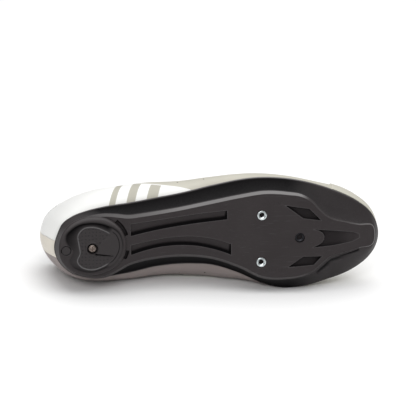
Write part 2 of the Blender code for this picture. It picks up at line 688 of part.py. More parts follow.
def down_from_rim(line, distances):
    """Points on a skin line at given distances below the rim, nearest first."""
    back = line[::-1]
    run = np.concatenate([[0], np.cumsum(np.linalg.norm(np.diff(back, axis=0), axis=1))])
    return np.stack([np.interp(distances, run, back[:, i]) for i in range(3)], axis=1)


def bridge(places, outer_reach, inner_reach, fullness):
    """A grid across the throat that leaves the upper's skin along its own slope on both sides."""
    lines = []
    for x in places:
        near = down_from_rim(skin_at(x, False), outer_reach)
        far = down_from_rim(skin_at(x, True), inner_reach)
        span = np.linalg.norm(far[0] - near[0]) * fullness
        leave, arrive = near[0] - near[1], far[1] - far[0]
        leave, arrive = leave / np.linalg.norm(leave) * span, arrive / np.linalg.norm(arrive) * span
        u = np.linspace(0, 1, 7)[1:-1, None]
        arch = (
            (2 * u**3 - 3 * u**2 + 1) * near[0] + (3 * u**2 - 2 * u**3) * far[0]
            + (u**3 - 2 * u**2 + u) * leave + (u**3 - u**2) * arrive
        )
        lines.append(np.concatenate([near[::-1], arch, far]))
    return np.array(lines)


def bridge_normals(grid):
    normal = np.cross(np.gradient(grid, axis=0), np.gradient(grid, axis=1))
    return normal / np.linalg.norm(normal, axis=2)[:, :, None]


# Tongue: padded sheet from under the vamp up past the collar
TONGUE_WALL, TONGUE_DROP = 0.0032, 0.0054
TONGUE_FROM, TONGUE_TO = 0.395 * LENGTH, 0.690 * LENGTH
TONGUE_UNDER = (0.0, 0.004, 0.008)
TONGUE_TOP = (
    ("back", "up", "narrow", "flat"),
    (0.074, 0.175, 0.45, 0.25),
    (0.068, 0.158, 0.62, 0.35),
    (0.050, 0.112, 0.74, 0.45),
    (0.026, 0.058, 0.80, 0.55),
)
tongue_grid = bridge(np.linspace(TONGUE_FROM, TONGUE_TO, 12), TONGUE_UNDER, TONGUE_UNDER, 0.5)
tongue_grid = tongue_grid - bridge_normals(tongue_grid) * TONGUE_DROP
first = tongue_grid[0]
middle = first[len(first) // 2]
top_lines = []
for back, up, narrow, flat in TONGUE_TOP[1:]:
    shift = np.array((-back * LENGTH, 0, up * HEIGHT))
    top_lines.append(middle + (first - middle) * (1, narrow, flat) + shift)
tongue_grid = np.concatenate([np.array(top_lines), tongue_grid])
tongue_normals = bridge_normals(tongue_grid)
slab("tongue", tongue_grid, tongue_grid - tongue_normals * TONGUE_WALL, TONGUE_FABRIC)

# Insole: thin sheet on the footbed
INSOLE_WALL = 0.0030
bed = footbed_rings(STATIONS, RIM_IN + 0.0018, 4 * FIT_GAP)
insole_top = [ring + np.array((0, 0, INSOLE_WALL)) for ring in bed]
rings_solid("insole", [*bed[::-1], *insole_top], INSOLE_FABRIC)

# Straps: two flat bands over the throat
STRAP_WALL = 0.0020
STRAP_LIFT = 0.0004
STRAPS = {"strap_rear": (0.420, 0.492), "strap_front": (0.535, 0.600)}
STRAP_OUTER, STRAP_INNER = (0.0, 0.005, 0.010, 0.015, 0.020), (0.0, 0.006, 0.012)
for name, (start, end) in STRAPS.items():
    band = bridge(np.linspace(start, end, 5) * LENGTH, STRAP_OUTER, STRAP_INNER, 0.5)
    band_normals = bridge_normals(band)
    slab(name, band + band_normals * (STRAP_LIFT + STRAP_WALL), band + band_normals * STRAP_LIFT, STRAP_FABRIC)


# Lying down: the shoe rolls onto its inner side until its weight falls inside one flat of its hull

DENSITY = {
    SOLE_COMPOSITE: 1100, PAD_RUBBER: 1200, STEEL: 7850, UPPER_SYNTHETIC: 900,
    CAP_SYNTHETIC: 900, TONGUE_FABRIC: 300, INSOLE_FABRIC: 300, STRAP_FABRIC: 300,
}
pieces = [obj for obj in bpy.data.objects if obj.type == "MESH"]
hull = bmesh.new()
weight, moment = 0.0, Vector()
for obj in pieces:
    form = bmesh.new()
    form.from_mesh(obj.data)
    bmesh.ops.triangulate(form, faces=form.faces)
    density = DENSITY[obj.data.materials[0]]
    for face in form.faces:
        a, b, c = (vert.co for vert in face.verts)
        part = density * a.dot(b.cross(c)) / 6
        weight += part
        moment += part * (a + b + c) / 4
    form.free()
    for vert in obj.data.vertices:
        hull.verts.new(vert.co)
centre_of_mass = moment / weight
made = bmesh.ops.convex_hull(hull, input=hull.verts)
bmesh.ops.delete(hull, geom=made["geom_interior"], context="VERTS")
bmesh.ops.recalc_face_normals(hull, faces=hull.faces)
bmesh.ops.dissolve_limit(hull, angle_limit=0.001, verts=hull.verts, edges=hull.edges)
bmesh.ops.triangulate(hull, faces=hull.faces)
tree = BVHTree.FromBMesh(hull)
down = Vector((0, 1, 0.15)).normalized()
for _ in range(40):
    _, normal, _, _ = tree.ray_cast(centre_of_mass, down)
    if normal.dot(down) < 0:
        normal = -normal
    if normal.angle(down) < 1e-6:
        break
    down = normal.normalized()
up = -down
along = Vector((1, 0, 0))
along = (along - up * along.dot(up)).normalized()
turn = Matrix((along, up.cross(along), up)).to_4x4()
corners = np.array([turn @ vert.co for vert in hull.verts])
hull.free()
low, high = corners.min(axis=0), corners.max(axis=0)
middle = (low + high) / 2
lying = bpy.data.objects.new("lying", None)
bpy.context.scene.collection.objects.link(lying)
lying.matrix_world = Matrix.Translation((-middle[0], -middle[1], -low[2])) @ turn
for obj in pieces:
    obj.parent = lying
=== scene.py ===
import math

import bmesh
import bpy
import numpy as np
from mathutils import Matrix, Vector


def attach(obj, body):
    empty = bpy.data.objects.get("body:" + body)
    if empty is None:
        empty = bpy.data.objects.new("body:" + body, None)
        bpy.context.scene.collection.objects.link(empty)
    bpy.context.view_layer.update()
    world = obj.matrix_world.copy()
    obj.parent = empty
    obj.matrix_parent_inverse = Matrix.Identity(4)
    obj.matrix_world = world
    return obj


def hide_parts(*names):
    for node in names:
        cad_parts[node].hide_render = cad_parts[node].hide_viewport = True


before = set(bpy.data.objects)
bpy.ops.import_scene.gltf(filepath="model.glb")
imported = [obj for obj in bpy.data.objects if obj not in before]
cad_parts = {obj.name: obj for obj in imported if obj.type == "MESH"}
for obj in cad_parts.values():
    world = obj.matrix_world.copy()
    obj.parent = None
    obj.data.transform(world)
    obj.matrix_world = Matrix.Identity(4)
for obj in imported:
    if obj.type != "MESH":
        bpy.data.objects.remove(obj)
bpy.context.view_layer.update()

# How the shoe lies. Every piece is built as the shoe stands: x from heel to toe, y to its inner side, z up
# from the tread. The heel pad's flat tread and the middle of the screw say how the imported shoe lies.
LENGTH, WIDTH, HEIGHT = 0.285, 0.0935, 0.100
SIZES = np.array((LENGTH, WIDTH, HEIGHT))
SCREW_CENTRE = np.array((0.155, -0.005)) * SIZES[:2]

tread = max(
    (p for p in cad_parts["heel_pad"].data.polygons if p.normal.y < -0.9), key=lambda p: p.area
)
up_axis = -tread.normal
toe_axis = Vector((-up_axis.z, 0.0, up_axis.x)).normalized()
inner_axis = up_axis.cross(toe_axis)
turn = Matrix((toe_axis, inner_axis, up_axis))
screw_points = {tuple(round(c, 6) for c in v.co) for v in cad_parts["heel_screw"].data.vertices}
screw_middle = turn @ (sum((Vector(p) for p in screw_points), Vector()) / len(screw_points))
tread_height = (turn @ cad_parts["heel_pad"].data.vertices[tread.vertices[0]].co).z
home = Vector((screw_middle.x - SCREW_CENTRE[0], screw_middle.y - SCREW_CENTRE[1], tread_height))
LIE = turn.transposed().to_4x4() @ Matrix.Translation(home)


# Outsole: one stiff moulding of dark fibre-filled composite, pressed hot in a two-part mould and glued under
# the upper. A flat plate with a chamfer round it that is painted paler as a highlight, a tall wall that
# climbs to the upper, painted dark as shade, two long grooves under the arch and sunk vents at the ball.
SOLE_HEEL, SOLE_TOE = (0.051, 0.026), (0.998, 0.048)
SOLE_EDGE = (
    ("along", "outer", "inner"),
    (0.062, -0.119, 0.132),
    (0.076, -0.200, 0.190),
    (0.103, -0.257, 0.256),
    (0.144, -0.300, 0.294),
    (0.192, -0.328, 0.300),
    (0.261, -0.347, 0.283),
    (0.344, -0.376, 0.249),
    (0.430, -0.416, 0.234),
    (0.515, -0.474, 0.258),
    (0.584, -0.520, 0.327),
    (0.653, -0.539, 0.425),
    (0.722, -0.522, 0.472),
    (0.790, -0.473, 0.455),
    (0.842, -0.415, 0.420),
    (0.893, -0.341, 0.374),
    (0.935, -0.263, 0.318),
    (0.966, -0.184, 0.252),
    (0.986, -0.100, 0.180),
)
EDGE_HEIGHT = (
    ("along", "outer", "inner"),
    (0.051, 0.157, 0.157),
    (0.150, 0.170, 0.172),
    (0.260, 0.200, 0.215),
    (0.370, 0.232, 0.268),
    (0.480, 0.228, 0.262),
    (0.584, 0.186, 0.200),
    (0.690, 0.163, 0.158),
    (0.775, 0.172, 0.163),
    (0.860, 0.206, 0.198),
    (0.930, 0.250, 0.246),
    (0.998, 0.294, 0.294),
)
PLATE_HEEL, PLATE_TOE = (0.068, 0.010), (0.984, 0.033)
PLATE_EDGE = (
    ("along", "outer", "inner"),
    (0.076, -0.130, 0.115),
    (0.103, -0.215, 0.205),
    (0.144, -0.262, 0.255),
    (0.192, -0.278, 0.255),
    (0.230, -0.265, 0.205),
    (0.261, -0.250, 0.155),
    (0.300, -0.254, 0.128),
    (0.344, -0.264, 0.114),
    (0.430, -0.298, 0.109),
    (0.515, -0.349, 0.144),
    (0.584, -0.393, 0.220),
    (0.653, -0.424, 0.322),
    (0.722, -0.408, 0.338),
    (0.765, -0.382, 0.322),
    (0.790, -0.337, 0.295),
    (0.812, -0.262, 0.250),
    (0.842, -0.177, 0.180),
    (0.893, -0.116, 0.150),
    (0.935, -0.075, 0.130),
    (0.978, -0.045, 0.112),
)
PLATE = (
    ("along", "height", "strip", "curve"),
    (0.051, 0.049, 0.016, 1.2),
    (0.260, 0.059, 0.024, 1.0),
    (0.310, 0.083, 0.024, 1.0),
    (0.378, 0.103, 0.024, 1.0),
    (0.447, 0.103, 0.024, 1.0),
    (0.515, 0.080, 0.024, 1.0),
    (0.584, 0.050, 0.024, 1.1),
    (0.640, 0.030, 0.024, 1.2),
    (0.770, 0.030, 0.020, 1.5),
    (0.808, 0.042, 0.012, 1.8),
    (0.860, 0.078, 0.010, 2.0),
    (0.910, 0.122, 0.010, 2.0),
    (0.955, 0.172, 0.009, 1.8),
    (0.984, 0.208, 0.008, 1.4),
)
OUTER_GROOVE = (
    ("along", "outer", "inner"),
    (0.268, -0.198, -0.089),
    (0.350, -0.215, -0.128),
    (0.444, -0.246, -0.164),
    (0.548, -0.281, -0.201),
)
INNER_GROOVE = (
    ("along", "outer", "inner"),
    (0.268, -0.006, 0.083),
    (0.347, -0.042, 0.032),
    (0.442, -0.051, 0.031),
    (0.488, -0.040, 0.050),
    (0.558, 0.022, 0.121),
)
OUTER_VENT = ((0.717, -0.311), (0.786, -0.272), (0.821, -0.158), (0.768, -0.189))
INNER_VENT = ((0.766, 0.158), (0.822, 0.167), (0.797, 0.238), (0.722, 0.248))
TOE_RECESS = (
    ("along", "across"),
    (0.798, -0.084), (0.814, -0.068), (0.825, -0.044), (0.830, -0.014), (0.829, 0.016), (0.822, 0.044),
    (0.811, 0.064), (0.795, 0.080), (0.860, 0.078), (0.915, 0.064), (0.937, 0.040), (0.935, 0.005),
    (0.915, -0.020), (0.860, -0.052),
)
TOE_SLIT = (
    (0.806, 0.312), (0.850, 0.206), (0.893, 0.178), (0.935, 0.150),
    (0.935, 0.158), (0.893, 0.192), (0.853, 0.224), (0.813, 0.322),
)
NUTS = {
    "cleat_nut_outer": (0.648, -0.232, 0.00285),
    "cleat_nut_inner": (0.644, 0.192, 0.00285),
    "cleat_nut_front": (0.757, -0.015, 0.00420),
}
HEEL_BLOCK = np.array((
    (0.058, 0.000), (0.066, -0.120), (0.085, -0.205), (0.115, -0.262), (0.158, -0.285),
    (0.205, -0.255), (0.237, -0.175), (0.254, -0.040), (0.248, 0.080), (0.224, 0.170),
    (0.186, 0.228), (0.150, 0.245), (0.110, 0.225), (0.080, 0.165), (0.063, 0.085),
)) * SIZES[:2]
PAD_OUTLINE = np.array((
    (0.083, -0.091), (0.084, -0.130), (0.096, -0.171), (0.115, -0.209), (0.152, -0.227),
    (0.198, -0.198), (0.229, -0.129), (0.238, -0.011), (0.222, 0.103), (0.184, 0.180),
    (0.146, 0.204), (0.113, 0.176), (0.098, 0.143), (0.092, 0.097), (0.099, 0.055),
    (0.103, 0.012), (0.094, -0.030),
)) * SIZES[:2]
GROOVE_DEPTH, VENT_DEPTH, SLIT_DEPTH, SLOPE_RUN = 0.0034, 0.0030, 0.0030, 0.0008
GROOVE_STEP, WALL_RUN = 0.0009, 0.0019
STRIP_RISE, RIM_RISE, RIM_IN = 0.0026, 0.0012, 0.0040
NUT_RADIUS, NUT_BORE, NUT_ROOF = 0.0040, 0.0024, 0.0062
HALF_ROUND, ACROSS = 330, 88


def column(table, name):
    """One named column of a table, as numbers."""
    index = table[0].index(name)
    return np.array([row[index] for row in table[1:]])


def ease(at, places, values):
    """Smooth curve through table rows that never swings past a row."""
    places, values = np.asarray(places, float), np.asarray(values, float)
    step = np.diff(places)
    slope = np.diff(values) / step
    before, after = slope[:-1], slope[1:]
    agree = before * after > 0
    inner = np.where(agree, 2 * before * after / np.where(agree, before + after, 1.0), 0.0)
    tangent = np.concatenate([slope[:1], inner, slope[-1:]])
    at = np.clip(at, places[0], places[-1])
    i = np.clip(np.searchsorted(places, at, side="right") - 1, 0, len(step) - 1)
    t = (at - places[i]) / step[i]
    rise = values[i] + (values[i + 1] - values[i]) * (3 - 2 * t) * t * t
    bend = tangent[i] * (1 - t) - tangent[i + 1] * t
    lift = bend - (values[i + 1] - values[i]) / step[i] * (1 - 2 * t)
    return rise + lift * step[i] * t * (1 - t)


def by_length(table, name):
    """A table's column along the length, averaged over a short stretch so that no row shows."""
    places, values = column(table, "along"), column(table, name)
    steps = np.linspace(-1, 1, 9)
    weights = np.exp(-2 * steps**2) / np.exp(-2 * steps**2).sum()

    def value(share):
        share = np.asarray(share, float)
        reach = np.clip(np.minimum(share - places[0], places[-1] - share), 0, 0.04)
        return sum(w * ease(share + s * reach, places, values) for s, w in zip(steps, weights))

    return value


def smooth_closed(points, steps=24):
    """Dense points along a smooth closed curve through the given points."""
    p = np.asarray(points, float)
    ahead = np.roll(p, -1, 0)
    chord = np.linalg.norm(ahead - p, axis=1)[:, None]
    slope = (ahead - p) / chord
    chord_back, slope_back = np.roll(chord, 1, 0), np.roll(slope, 1, 0)
    tangent = (slope * chord_back + slope_back * chord) / (chord + chord_back)
    t = (np.arange(steps) / steps)[None, :, None]
    start = (2 * t**3 - 3 * t**2 + 1) * p[:, None]
    end = (3 * t**2 - 2 * t**3) * ahead[:, None]
    leave = (t**3 - 2 * t**2 + t) * (tangent * chord)[:, None]
    arrive = (t**3 - t**2) * (np.roll(tangent, -1, 0) * chord)[:, None]
    return (start + end + leave + arrive).reshape(-1, p.shape[1])


def plan_loop(table, heel, toe, angle):
    """Points round an outline: heel, outer side, toe, inner side. Both sides share their x."""
    along = column(table, "along")
    outer = list(zip(along, column(table, "outer")))
    inner = list(zip(along, column(table, "inner")))[::-1]
    curve = smooth_closed(np.array([heel, *outer, toe, *inner]) * SIZES[:2], 40)
    curve = np.roll(curve, -int(curve[:, 0].argmin()), 0)
    tip = int(curve[:, 0].argmax())
    near, far = curve[: tip + 1], np.vstack([curve[tip:], curve[:1]])[::-1]
    x = curve[0, 0] + (curve[tip, 0] - curve[0, 0]) * (1 - np.cos(angle)) / 2
    y = np.where(angle <= np.pi, np.interp(x, *near.T), np.interp(x, *far.T))
    return np.stack([x, y], axis=1)


fine = np.linspace(0, np.pi, 4001)
fine_edges = [plan_loop(SOLE_EDGE, SOLE_HEEL, SOLE_TOE, a) for a in (fine, 2 * np.pi - fine - 1e-9)]
runs = [np.concatenate([[0], np.cumsum(np.linalg.norm(np.diff(e, axis=0), axis=1))]) for e in fine_edges]
run = runs[0] / runs[0][-1] + runs[1] / runs[1][-1]
half_angles = np.interp(np.linspace(0, run[-1], HALF_ROUND + 1), run, fine)
ANGLES = np.concatenate([half_angles, 2 * np.pi - half_angles[1:-1][::-1]])
ROUND = len(ANGLES)


def plate_height(x):
    """How high the plate's underside runs over the tread."""
    return by_length(PLATE, "height")(x / LENGTH) * HEIGHT


def outward(loop):
    """Unit vectors in plan that point away from a closed loop."""
    ahead = np.roll(loop[:, :2], -1, 0) - np.roll(loop[:, :2], 1, 0)
    normal = np.stack([ahead[:, 1], -ahead[:, 0]], axis=1)
    return normal / np.linalg.norm(normal, axis=1)[:, None]


def grown(loop, distance):
    """A closed loop moved outward in plan."""
    return loop[:, :2] + outward(loop) * np.reshape(distance, (-1, 1))


def at_height(plan, z):
    """A plan line raised to one height, or to a height for each point."""
    return np.column_stack([plan[:, :2], np.broadcast_to(z, len(plan))])


def edge_loop(angle):
    """The sole's outer edge, where the upper's bite line runs."""
    plan = plan_loop(SOLE_EDGE, SOLE_HEEL, SOLE_TOE, angle)
    share = plan[:, 0] / LENGTH
    side = [by_length(EDGE_HEIGHT, name)(share) for name in ("outer", "inner")]
    return at_height(plan, np.where(angle <= np.pi, *side) * HEIGHT)


def groove_side(table, name, share):
    """One long side of a groove as a single even curve."""
    along = column(table, "along")
    return np.polyval(np.polyfit(along, column(table, name), 3), np.clip(share, along[0], along[-1]))


def groove_outline(table):
    """A groove's closed outline in plan."""
    along = column(table, "along")
    share = np.linspace(along[0], along[-1], 40)
    sides = [np.column_stack([share, groove_side(table, name, share)]) for name in ("outer", "inner")]
    return np.concatenate([sides[0], sides[1][::-1]]) * SIZES[:2]


def grid_faces(rows, across, wrap=False, first=0):
    """Quads of a grid of points in rows. A wrapped grid closes each row on itself."""
    i, j = np.meshgrid(np.arange(rows - 1), np.arange(across if wrap else across - 1), indexing="ij")
    k = (j + 1) % across
    return (
        first + np.stack([i * across + j, i * across + k, (i + 1) * across + k, (i + 1) * across + j], -1)
    ).reshape(-1, 4)


plate_plan = plan_loop(PLATE_EDGE, PLATE_HEEL, PLATE_TOE, ANGLES)
share = plate_plan[:, 0] / LENGTH
strip_plan = grown(plate_plan, by_length(PLATE, "strip")(share) * WIDTH)
edge = edge_loop(ANGLES)
# The shoe lies on its inner ball, so the lip is drawn in there.
lying = np.where(
    ANGLES > np.pi, ease(edge[:, 0] / LENGTH, (0.05, 0.45, 0.60, 0.82, 0.92, 0.99), (0, 0, 1, 1, 0, 0)), 0
)
edge[:, :2] = grown(edge, -0.0003 * lying)
power = by_length(PLATE, "curve")(share)

near, far = plate_plan[1:HALF_ROUND], plate_plan[:HALF_ROUND:-1]
mix = np.linspace(0, 1, ACROSS)[None, :, None]
# The plate's underside is a grid of lines from the outer side to the inner one.
under = (near[:, None] * (1 - mix) + far[:, None] * mix).reshape(-1, 2)
under = at_height(under, plate_height(under[:, 0]))
under_faces = grid_faces(HALF_ROUND - 1, ACROSS)
recess = np.column_stack([column(TOE_RECESS, "along"), column(TOE_RECESS, "across")]) * SIZES[:2]
block_line = smooth_closed(HEEL_BLOCK, 8)
MOATS, MOAT_WIDTH, MOAT_DEPTH, HOLE_DEPTH = ((-0.0215, -0.0085), (0.0025, 0.0105)), 0.0030, 0.0024, 0.0030
moats = []
for start, end in MOATS:
    arc = block_line[(block_line[:, 0] > 0.055) & (block_line[:, 1] > start) & (block_line[:, 1] < end)]
    spread = (arc - SCREW_CENTRE) / np.linalg.norm(arc - SCREW_CENTRE, axis=1)[:, None]
    moats.append(np.concatenate([arc - spread * 0.001, (arc + spread * MOAT_WIDTH)[::-1]]))
marks = [
    groove_outline(OUTER_GROOVE), groove_outline(INNER_GROOVE), np.array(OUTER_VENT) * SIZES[:2],
    np.array(INNER_VENT) * SIZES[:2], recess, *moats,
]


def signed_distance(points, outline):
    """Distance in plan from each point to a closed outline, negative inside it."""
    points, a = np.asarray(points)[:, :2], np.asarray(outline)[:, :2]
    b = np.roll(a, -1, 0)
    nearest = np.full(len(points), 1e9)
    inside = np.zeros(len(points), bool)
    for start, end in zip(a, b):
        edge = end - start
        away = points - start
        t = np.clip(away @ edge / (edge @ edge), 0, 1)
        nearest = np.minimum(nearest, np.linalg.norm(away - t[:, None] * edge, axis=1))
        crosses = (start[1] > points[:, 1]) != (end[1] > points[:, 1])
        rise = edge[1] if abs(edge[1]) > 1e-12 else 1e-12
        inside ^= crosses & (points[:, 0] < start[0] + edge[0] * (points[:, 1] - start[1]) / rise)
    return np.where(inside, -nearest, nearest)


def mark_distances(points):
    """Distance of each point to the edge of every sunk mark and nut hole."""
    holes = [
        np.hypot(points[:, 0] - x * LENGTH, points[:, 1] - y * WIDTH) - NUT_RADIUS for x,
        y,
        _ in NUTS.values()
    ]
    return np.array([*(signed_distance(points, outline) for outline in marks), *holes])


def refined(points, faces, wanted, cuts):
    """The mesh with every edge near a wanted place cut finer, so that small forms get enough points."""
    form = bmesh.new()
    made = [form.verts.new(p) for p in points]
    for face in faces:
        form.faces.new([made[int(i)] for i in face])
    form.edges.ensure_lookup_table()
    middles = np.array([(e.verts[0].co + e.verts[1].co) / 2 for e in form.edges])
    chosen = [e for e, near in zip(form.edges, wanted(middles)) if near]
    bmesh.ops.subdivide_edges(form, edges=chosen, cuts=cuts, use_grid_fill=True)
    form.verts.index_update()
    out = np.array([v.co for v in form.verts]), [tuple(v.index for v in f.verts) for f in form.faces]
    form.free()
    return out


under, under_faces = refined(
    under, under_faces, lambda p: np.abs(mark_distances(p)).min(axis=0) < 0.0010, 3
)
away = mark_distances(under)
share = under[:, 0] / LENGTH
fade = ease(share, (0.800, 0.830, 0.860, 0.915, 0.937), (0.0022, 0.0026, 0.0022, 0.0010, 0.0004))
deepest = (VENT_DEPTH, VENT_DEPTH, fade, MOAT_DEPTH, MOAT_DEPTH, *[HOLE_DEPTH] * len(NUTS))
sink, dark = np.zeros(len(under)), np.zeros(len(under))
# A groove's floor starts shallow at its outer edge and falls to a steep wall at its inner edge, painted dark
# as shade.
for distance, table in zip(away[:2], (OUTER_GROOVE, INNER_GROOVE)):
    start, end = (WIDTH * groove_side(table, name, share) for name in ("outer", "inner"))
    fall = np.clip((under[:, 1] - start) / (end - start), 0, 1)
    left = np.clip((end - under[:, 1]) / WALL_RUN, 0, 1)
    deep = (
        GROOVE_STEP + (GROOVE_DEPTH - GROOVE_STEP) * fall
    ) * left**0.8 * np.clip(-distance / 0.0004, 0, 1)
    sink = np.maximum(sink, np.where(distance < 0, deep, 0))
    # Painted shade: the steep inner wall and the front end of each groove are painted dark, and its floor
    # faintly.
    shade = np.clip(1.9 - (end - under[:, 1]) / WALL_RUN, 0, 1)
    front = column(table, "along")[-1] * LENGTH
    shade = np.maximum(shade, np.clip(1.5 - (front - under[:, 0]) / (0.0010 + 0.0014 * fall), 0, 1))
    dark = np.maximum(dark, np.where(distance < 0, np.maximum(shade, 0.15), 0))
# Painted shade in the vents, the toe recess, the moats and the nut holes, darker where they are deeper.
for distance, depth in zip(away[2:], deepest):
    bowl = np.clip(-distance / SLOPE_RUN, 0, 1)
    sink = np.maximum(sink, depth * bowl**0.75)
    dark = np.maximum(dark, np.minimum(depth / 0.0024, 1) * (bowl > 0) * (1 - 0.45 * bowl))
under[:, 2] += sink
edge_wear = np.exp(-(((away[:5].min(axis=0) - 0.0002) / 0.00025) ** 2))
under_tone = np.stack([dark, 0.18 * edge_wear, np.zeros(len(under))], 1)


def inside_of(distance, width):
    """One inside an outline, nought outside, with a soft edge of the given width."""
    t = np.clip(0.5 - distance / width, 0, 1)
    return t * t * (3 - 2 * t)


# Rings climb from the plate over its chamfer and the hollow wall to the lip, which turns in under the upper.
rings = [at_height(plate_plan, plate_height(plate_plan[:, 0]))]
strip_rise = STRIP_RISE * ease(
    plate_plan[:, 0] / LENGTH,
    (0.05, 0.20, 0.24, 0.74, 0.79, 0.84, 0.99),
    (0.6, 0.7, 1.0, 1.0, 0.6, 0.5, 0.4),
)
for step in (0.04, 0.10, 0.5, 0.90, 0.96, 1.0):
    plan = plate_plan + (strip_plan - plate_plan) * step
    rings.append(at_height(plan, rings[0][:, 2] + strip_rise * step))
top_of_strip = rings[-1]
for step in (0.02, 0.05, 0.10, 0.17, 0.25, 0.34, 0.44, 0.54, 0.64, 0.74, 0.83, 0.90, 0.95, 0.98, 1.0):
    plan = strip_plan + (edge[:, :2] - strip_plan) * step
    rings.append(at_height(plan, top_of_strip[:, 2] + (edge[:, 2] - top_of_strip[:, 2]) * step**power))
lip = (
    (0.00025, 0.10), (0.00045, 0.35), (0.00045, 0.65), (0.0002, 0.92), (-0.0002, 1.0), (-RIM_IN, 1.0),
    (-RIM_IN - 0.004, -1.0)
)
for grow, rise in lip:
    rings.append(
        at_height(grown(edge, grow * (1 - lying) if grow > 0 else grow), edge[:, 2] + RIM_RISE * rise)
    )
wall = np.array(rings)
slit = np.array(TOE_SLIT) * SIZES[:2]
slit_sink = np.array([inside_of(signed_distance(row, slit) - 0.0002, 0.0012) for row in wall])
wall[:, :, 2] += SLIT_DEPTH * 0.6 * slit_sink * (np.arange(len(wall)) < 16)[:, None]
# Tones of the wall: painted shade over its hollow middle and in the toe slit, painted highlights along its
# edges and lip, and a paler, glossier band of painted highlight on the chamfer and the lip.
row_shade = np.interp(np.arange(len(wall)), (0, 5, 7, 9, 18, 20, 22), (0.0, 0.0, 0.35, 1.0, 1.0, 0.3, 0.0))
# Painted highlights: the plate's edge, the top of the chamfer and the lip rows are painted paler.
row_highlight = np.interp(
    np.arange(len(wall)),
    (0, 1, 2, 5, 6, 20, 22, 24, 26, 27),
    (0.15, 0.15, 0.0, 0.0, 0.1, 0.0, 0.2, 0.2, 0.1, 0.0)
)
wall_tone = np.zeros((*wall.shape[:2], 3))
past_ball = ease(edge[:, 0] / LENGTH, (0.05, 0.70, 0.85, 0.998), (1.0, 1.0, 0.35, 0.2))
off_heel = np.clip((edge[:, 0] - 0.030) / 0.020, 0, 1)
# Painted shade: the hollow wall is painted near black from past the heel to the ball, and the toe slit dark.
wall_tone[:, :, 0] = np.maximum(row_shade[:, None] * (past_ball * off_heel)[None, :], slit_sink)
wall_tone[:, :, 1] = row_highlight[:, None]
# Painted highlight: the chamfer strip is painted paler and made glossier, most at the ball.
strip_gloss_and_highlight = ease(
    edge[:, 0] / LENGTH, (0.05, 0.24, 0.50, 0.76, 0.80, 0.88, 0.99), (0.1, 0.35, 0.9, 1.0, 0.14, 0.2, 0.7)
)
wall_tone[1:6, :, 2] = strip_gloss_and_highlight * np.where((ANGLES <= np.pi) | (edge[:, 0] > 0.27), 1.0, 0.2)
# Painted highlight along the lip, paler and glossier, strongest at the ball.
lip_gloss_and_highlight = ease(
    edge[:, 0] / LENGTH,
    (0.05, 0.15, 0.30, 0.42, 0.55, 0.70, 0.80, 0.99),
    (0.0, 0.2, 0.3, 0.35, 0.8, 1.0, 0.5, 0.2)
)
wall_tone[21:25, :, 2] = lip_gloss_and_highlight * np.where(ANGLES <= np.pi, 1.0, 0.4)
# The lip's outer side also takes the pale tone as a painted highlight.
wall_tone[22:25, :, 1] = 0.7 * lip_gloss_and_highlight * (ANGLES <= np.pi)
points = np.concatenate([under, wall.reshape(-1, 3)])
first = len(under)
faces = [*under_faces, *grid_faces(len(wall), ROUND, wrap=True, first=first).tolist()]
# The plate's first and last lines close on the ring's two tips.
for line, ring_point in ((0, first), (HALF_ROUND - 2, first + HALF_ROUND)):
    row = line * ACROSS + np.arange(ACROSS)
    faces += [(ring_point, a, b) for a, b in zip(row, row[1:])]


def linear(code):
    """A hex colour as linear values."""
    parts = [int(code[i : i + 2], 16) / 255 for i in (1, 3, 5)]
    return (*(c / 12.92 if c <= 0.04045 else ((c + 0.055) / 1.055) ** 2.4 for c in parts), 1.0)


def add(tree, kind, inputs=None, **settings):
    """One shader node. An input is a number, a colour or another node's output."""
    made = tree.nodes.new("ShaderNode" + kind)
    for key, value in settings.items():
        setattr(made, key, value)
    for key, value in (inputs or {}).items():
        if isinstance(value, bpy.types.NodeSocket):
            tree.links.new(value, made.inputs[key])
        else:
            made.inputs[key].default_value = value
    return made


def finish_of(name, **inputs):
    """A new material with its Principled shader."""
    made = bpy.data.materials.new(name)
    made.use_nodes = True
    shader = made.node_tree.nodes["Principled BSDF"]
    for key, value in inputs.items():
        shader.inputs[key.replace("_", " ")].default_value = value
    return made, made.node_tree, shader


# Compression-moulded composite: near black and satin, with a fine moulded grain. Its edges are rubbed paler,
# long faint scuffs run the way the foot slides, painted shade darkens the deep corners, hollows and the tall
# wall, and painted highlights lighten the chamfer, the lip and the ring's shoulder.
CLOUD_MM, MOULD_GRAIN_MM, SCUFF_MM = 20.0, 0.455, 0.625
composite, tree, shader = finish_of("composite")
place = add(tree, "Attribute", attribute_name="foot").outputs["Vector"]
tones = add(tree, "Attribute", attribute_name="tones").outputs["Vector"]
tones = add(tree, "SeparateXYZ", {"Vector": tones}).outputs
cloud = add(tree, "TexNoise", {"Vector": place, "Scale": 1 / CLOUD_MM, "Detail": 4.0}).outputs["Fac"]
grain = add(tree, "TexNoise", {
    "Vector": place, "Scale": 1 / MOULD_GRAIN_MM, "Detail": 3.0, "Roughness": 0.65,
}).outputs["Fac"]
drawn = add(tree, "Mapping", {"Vector": place, "Scale": (0.05, 0.9, 0.9)}).outputs["Vector"]
scuff = add(tree, "TexNoise", {"Vector": drawn, "Scale": 1 / SCUFF_MM, "Detail": 4.0}).outputs["Fac"]
rubbed = add(
    tree, "MapRange", {"Value": scuff, "From Min": 0.60, "From Max": 0.74, "To Max": 0.35}
).outputs["Result"]
coarse = add(tree, "MapRange", {"Value": grain, "From Min": 0.3, "From Max": 0.6}).outputs["Result"]
wear_and_highlight = add(tree, "Math", {0: tones["Y"], 1: coarse}, operation="MULTIPLY").outputs[0]
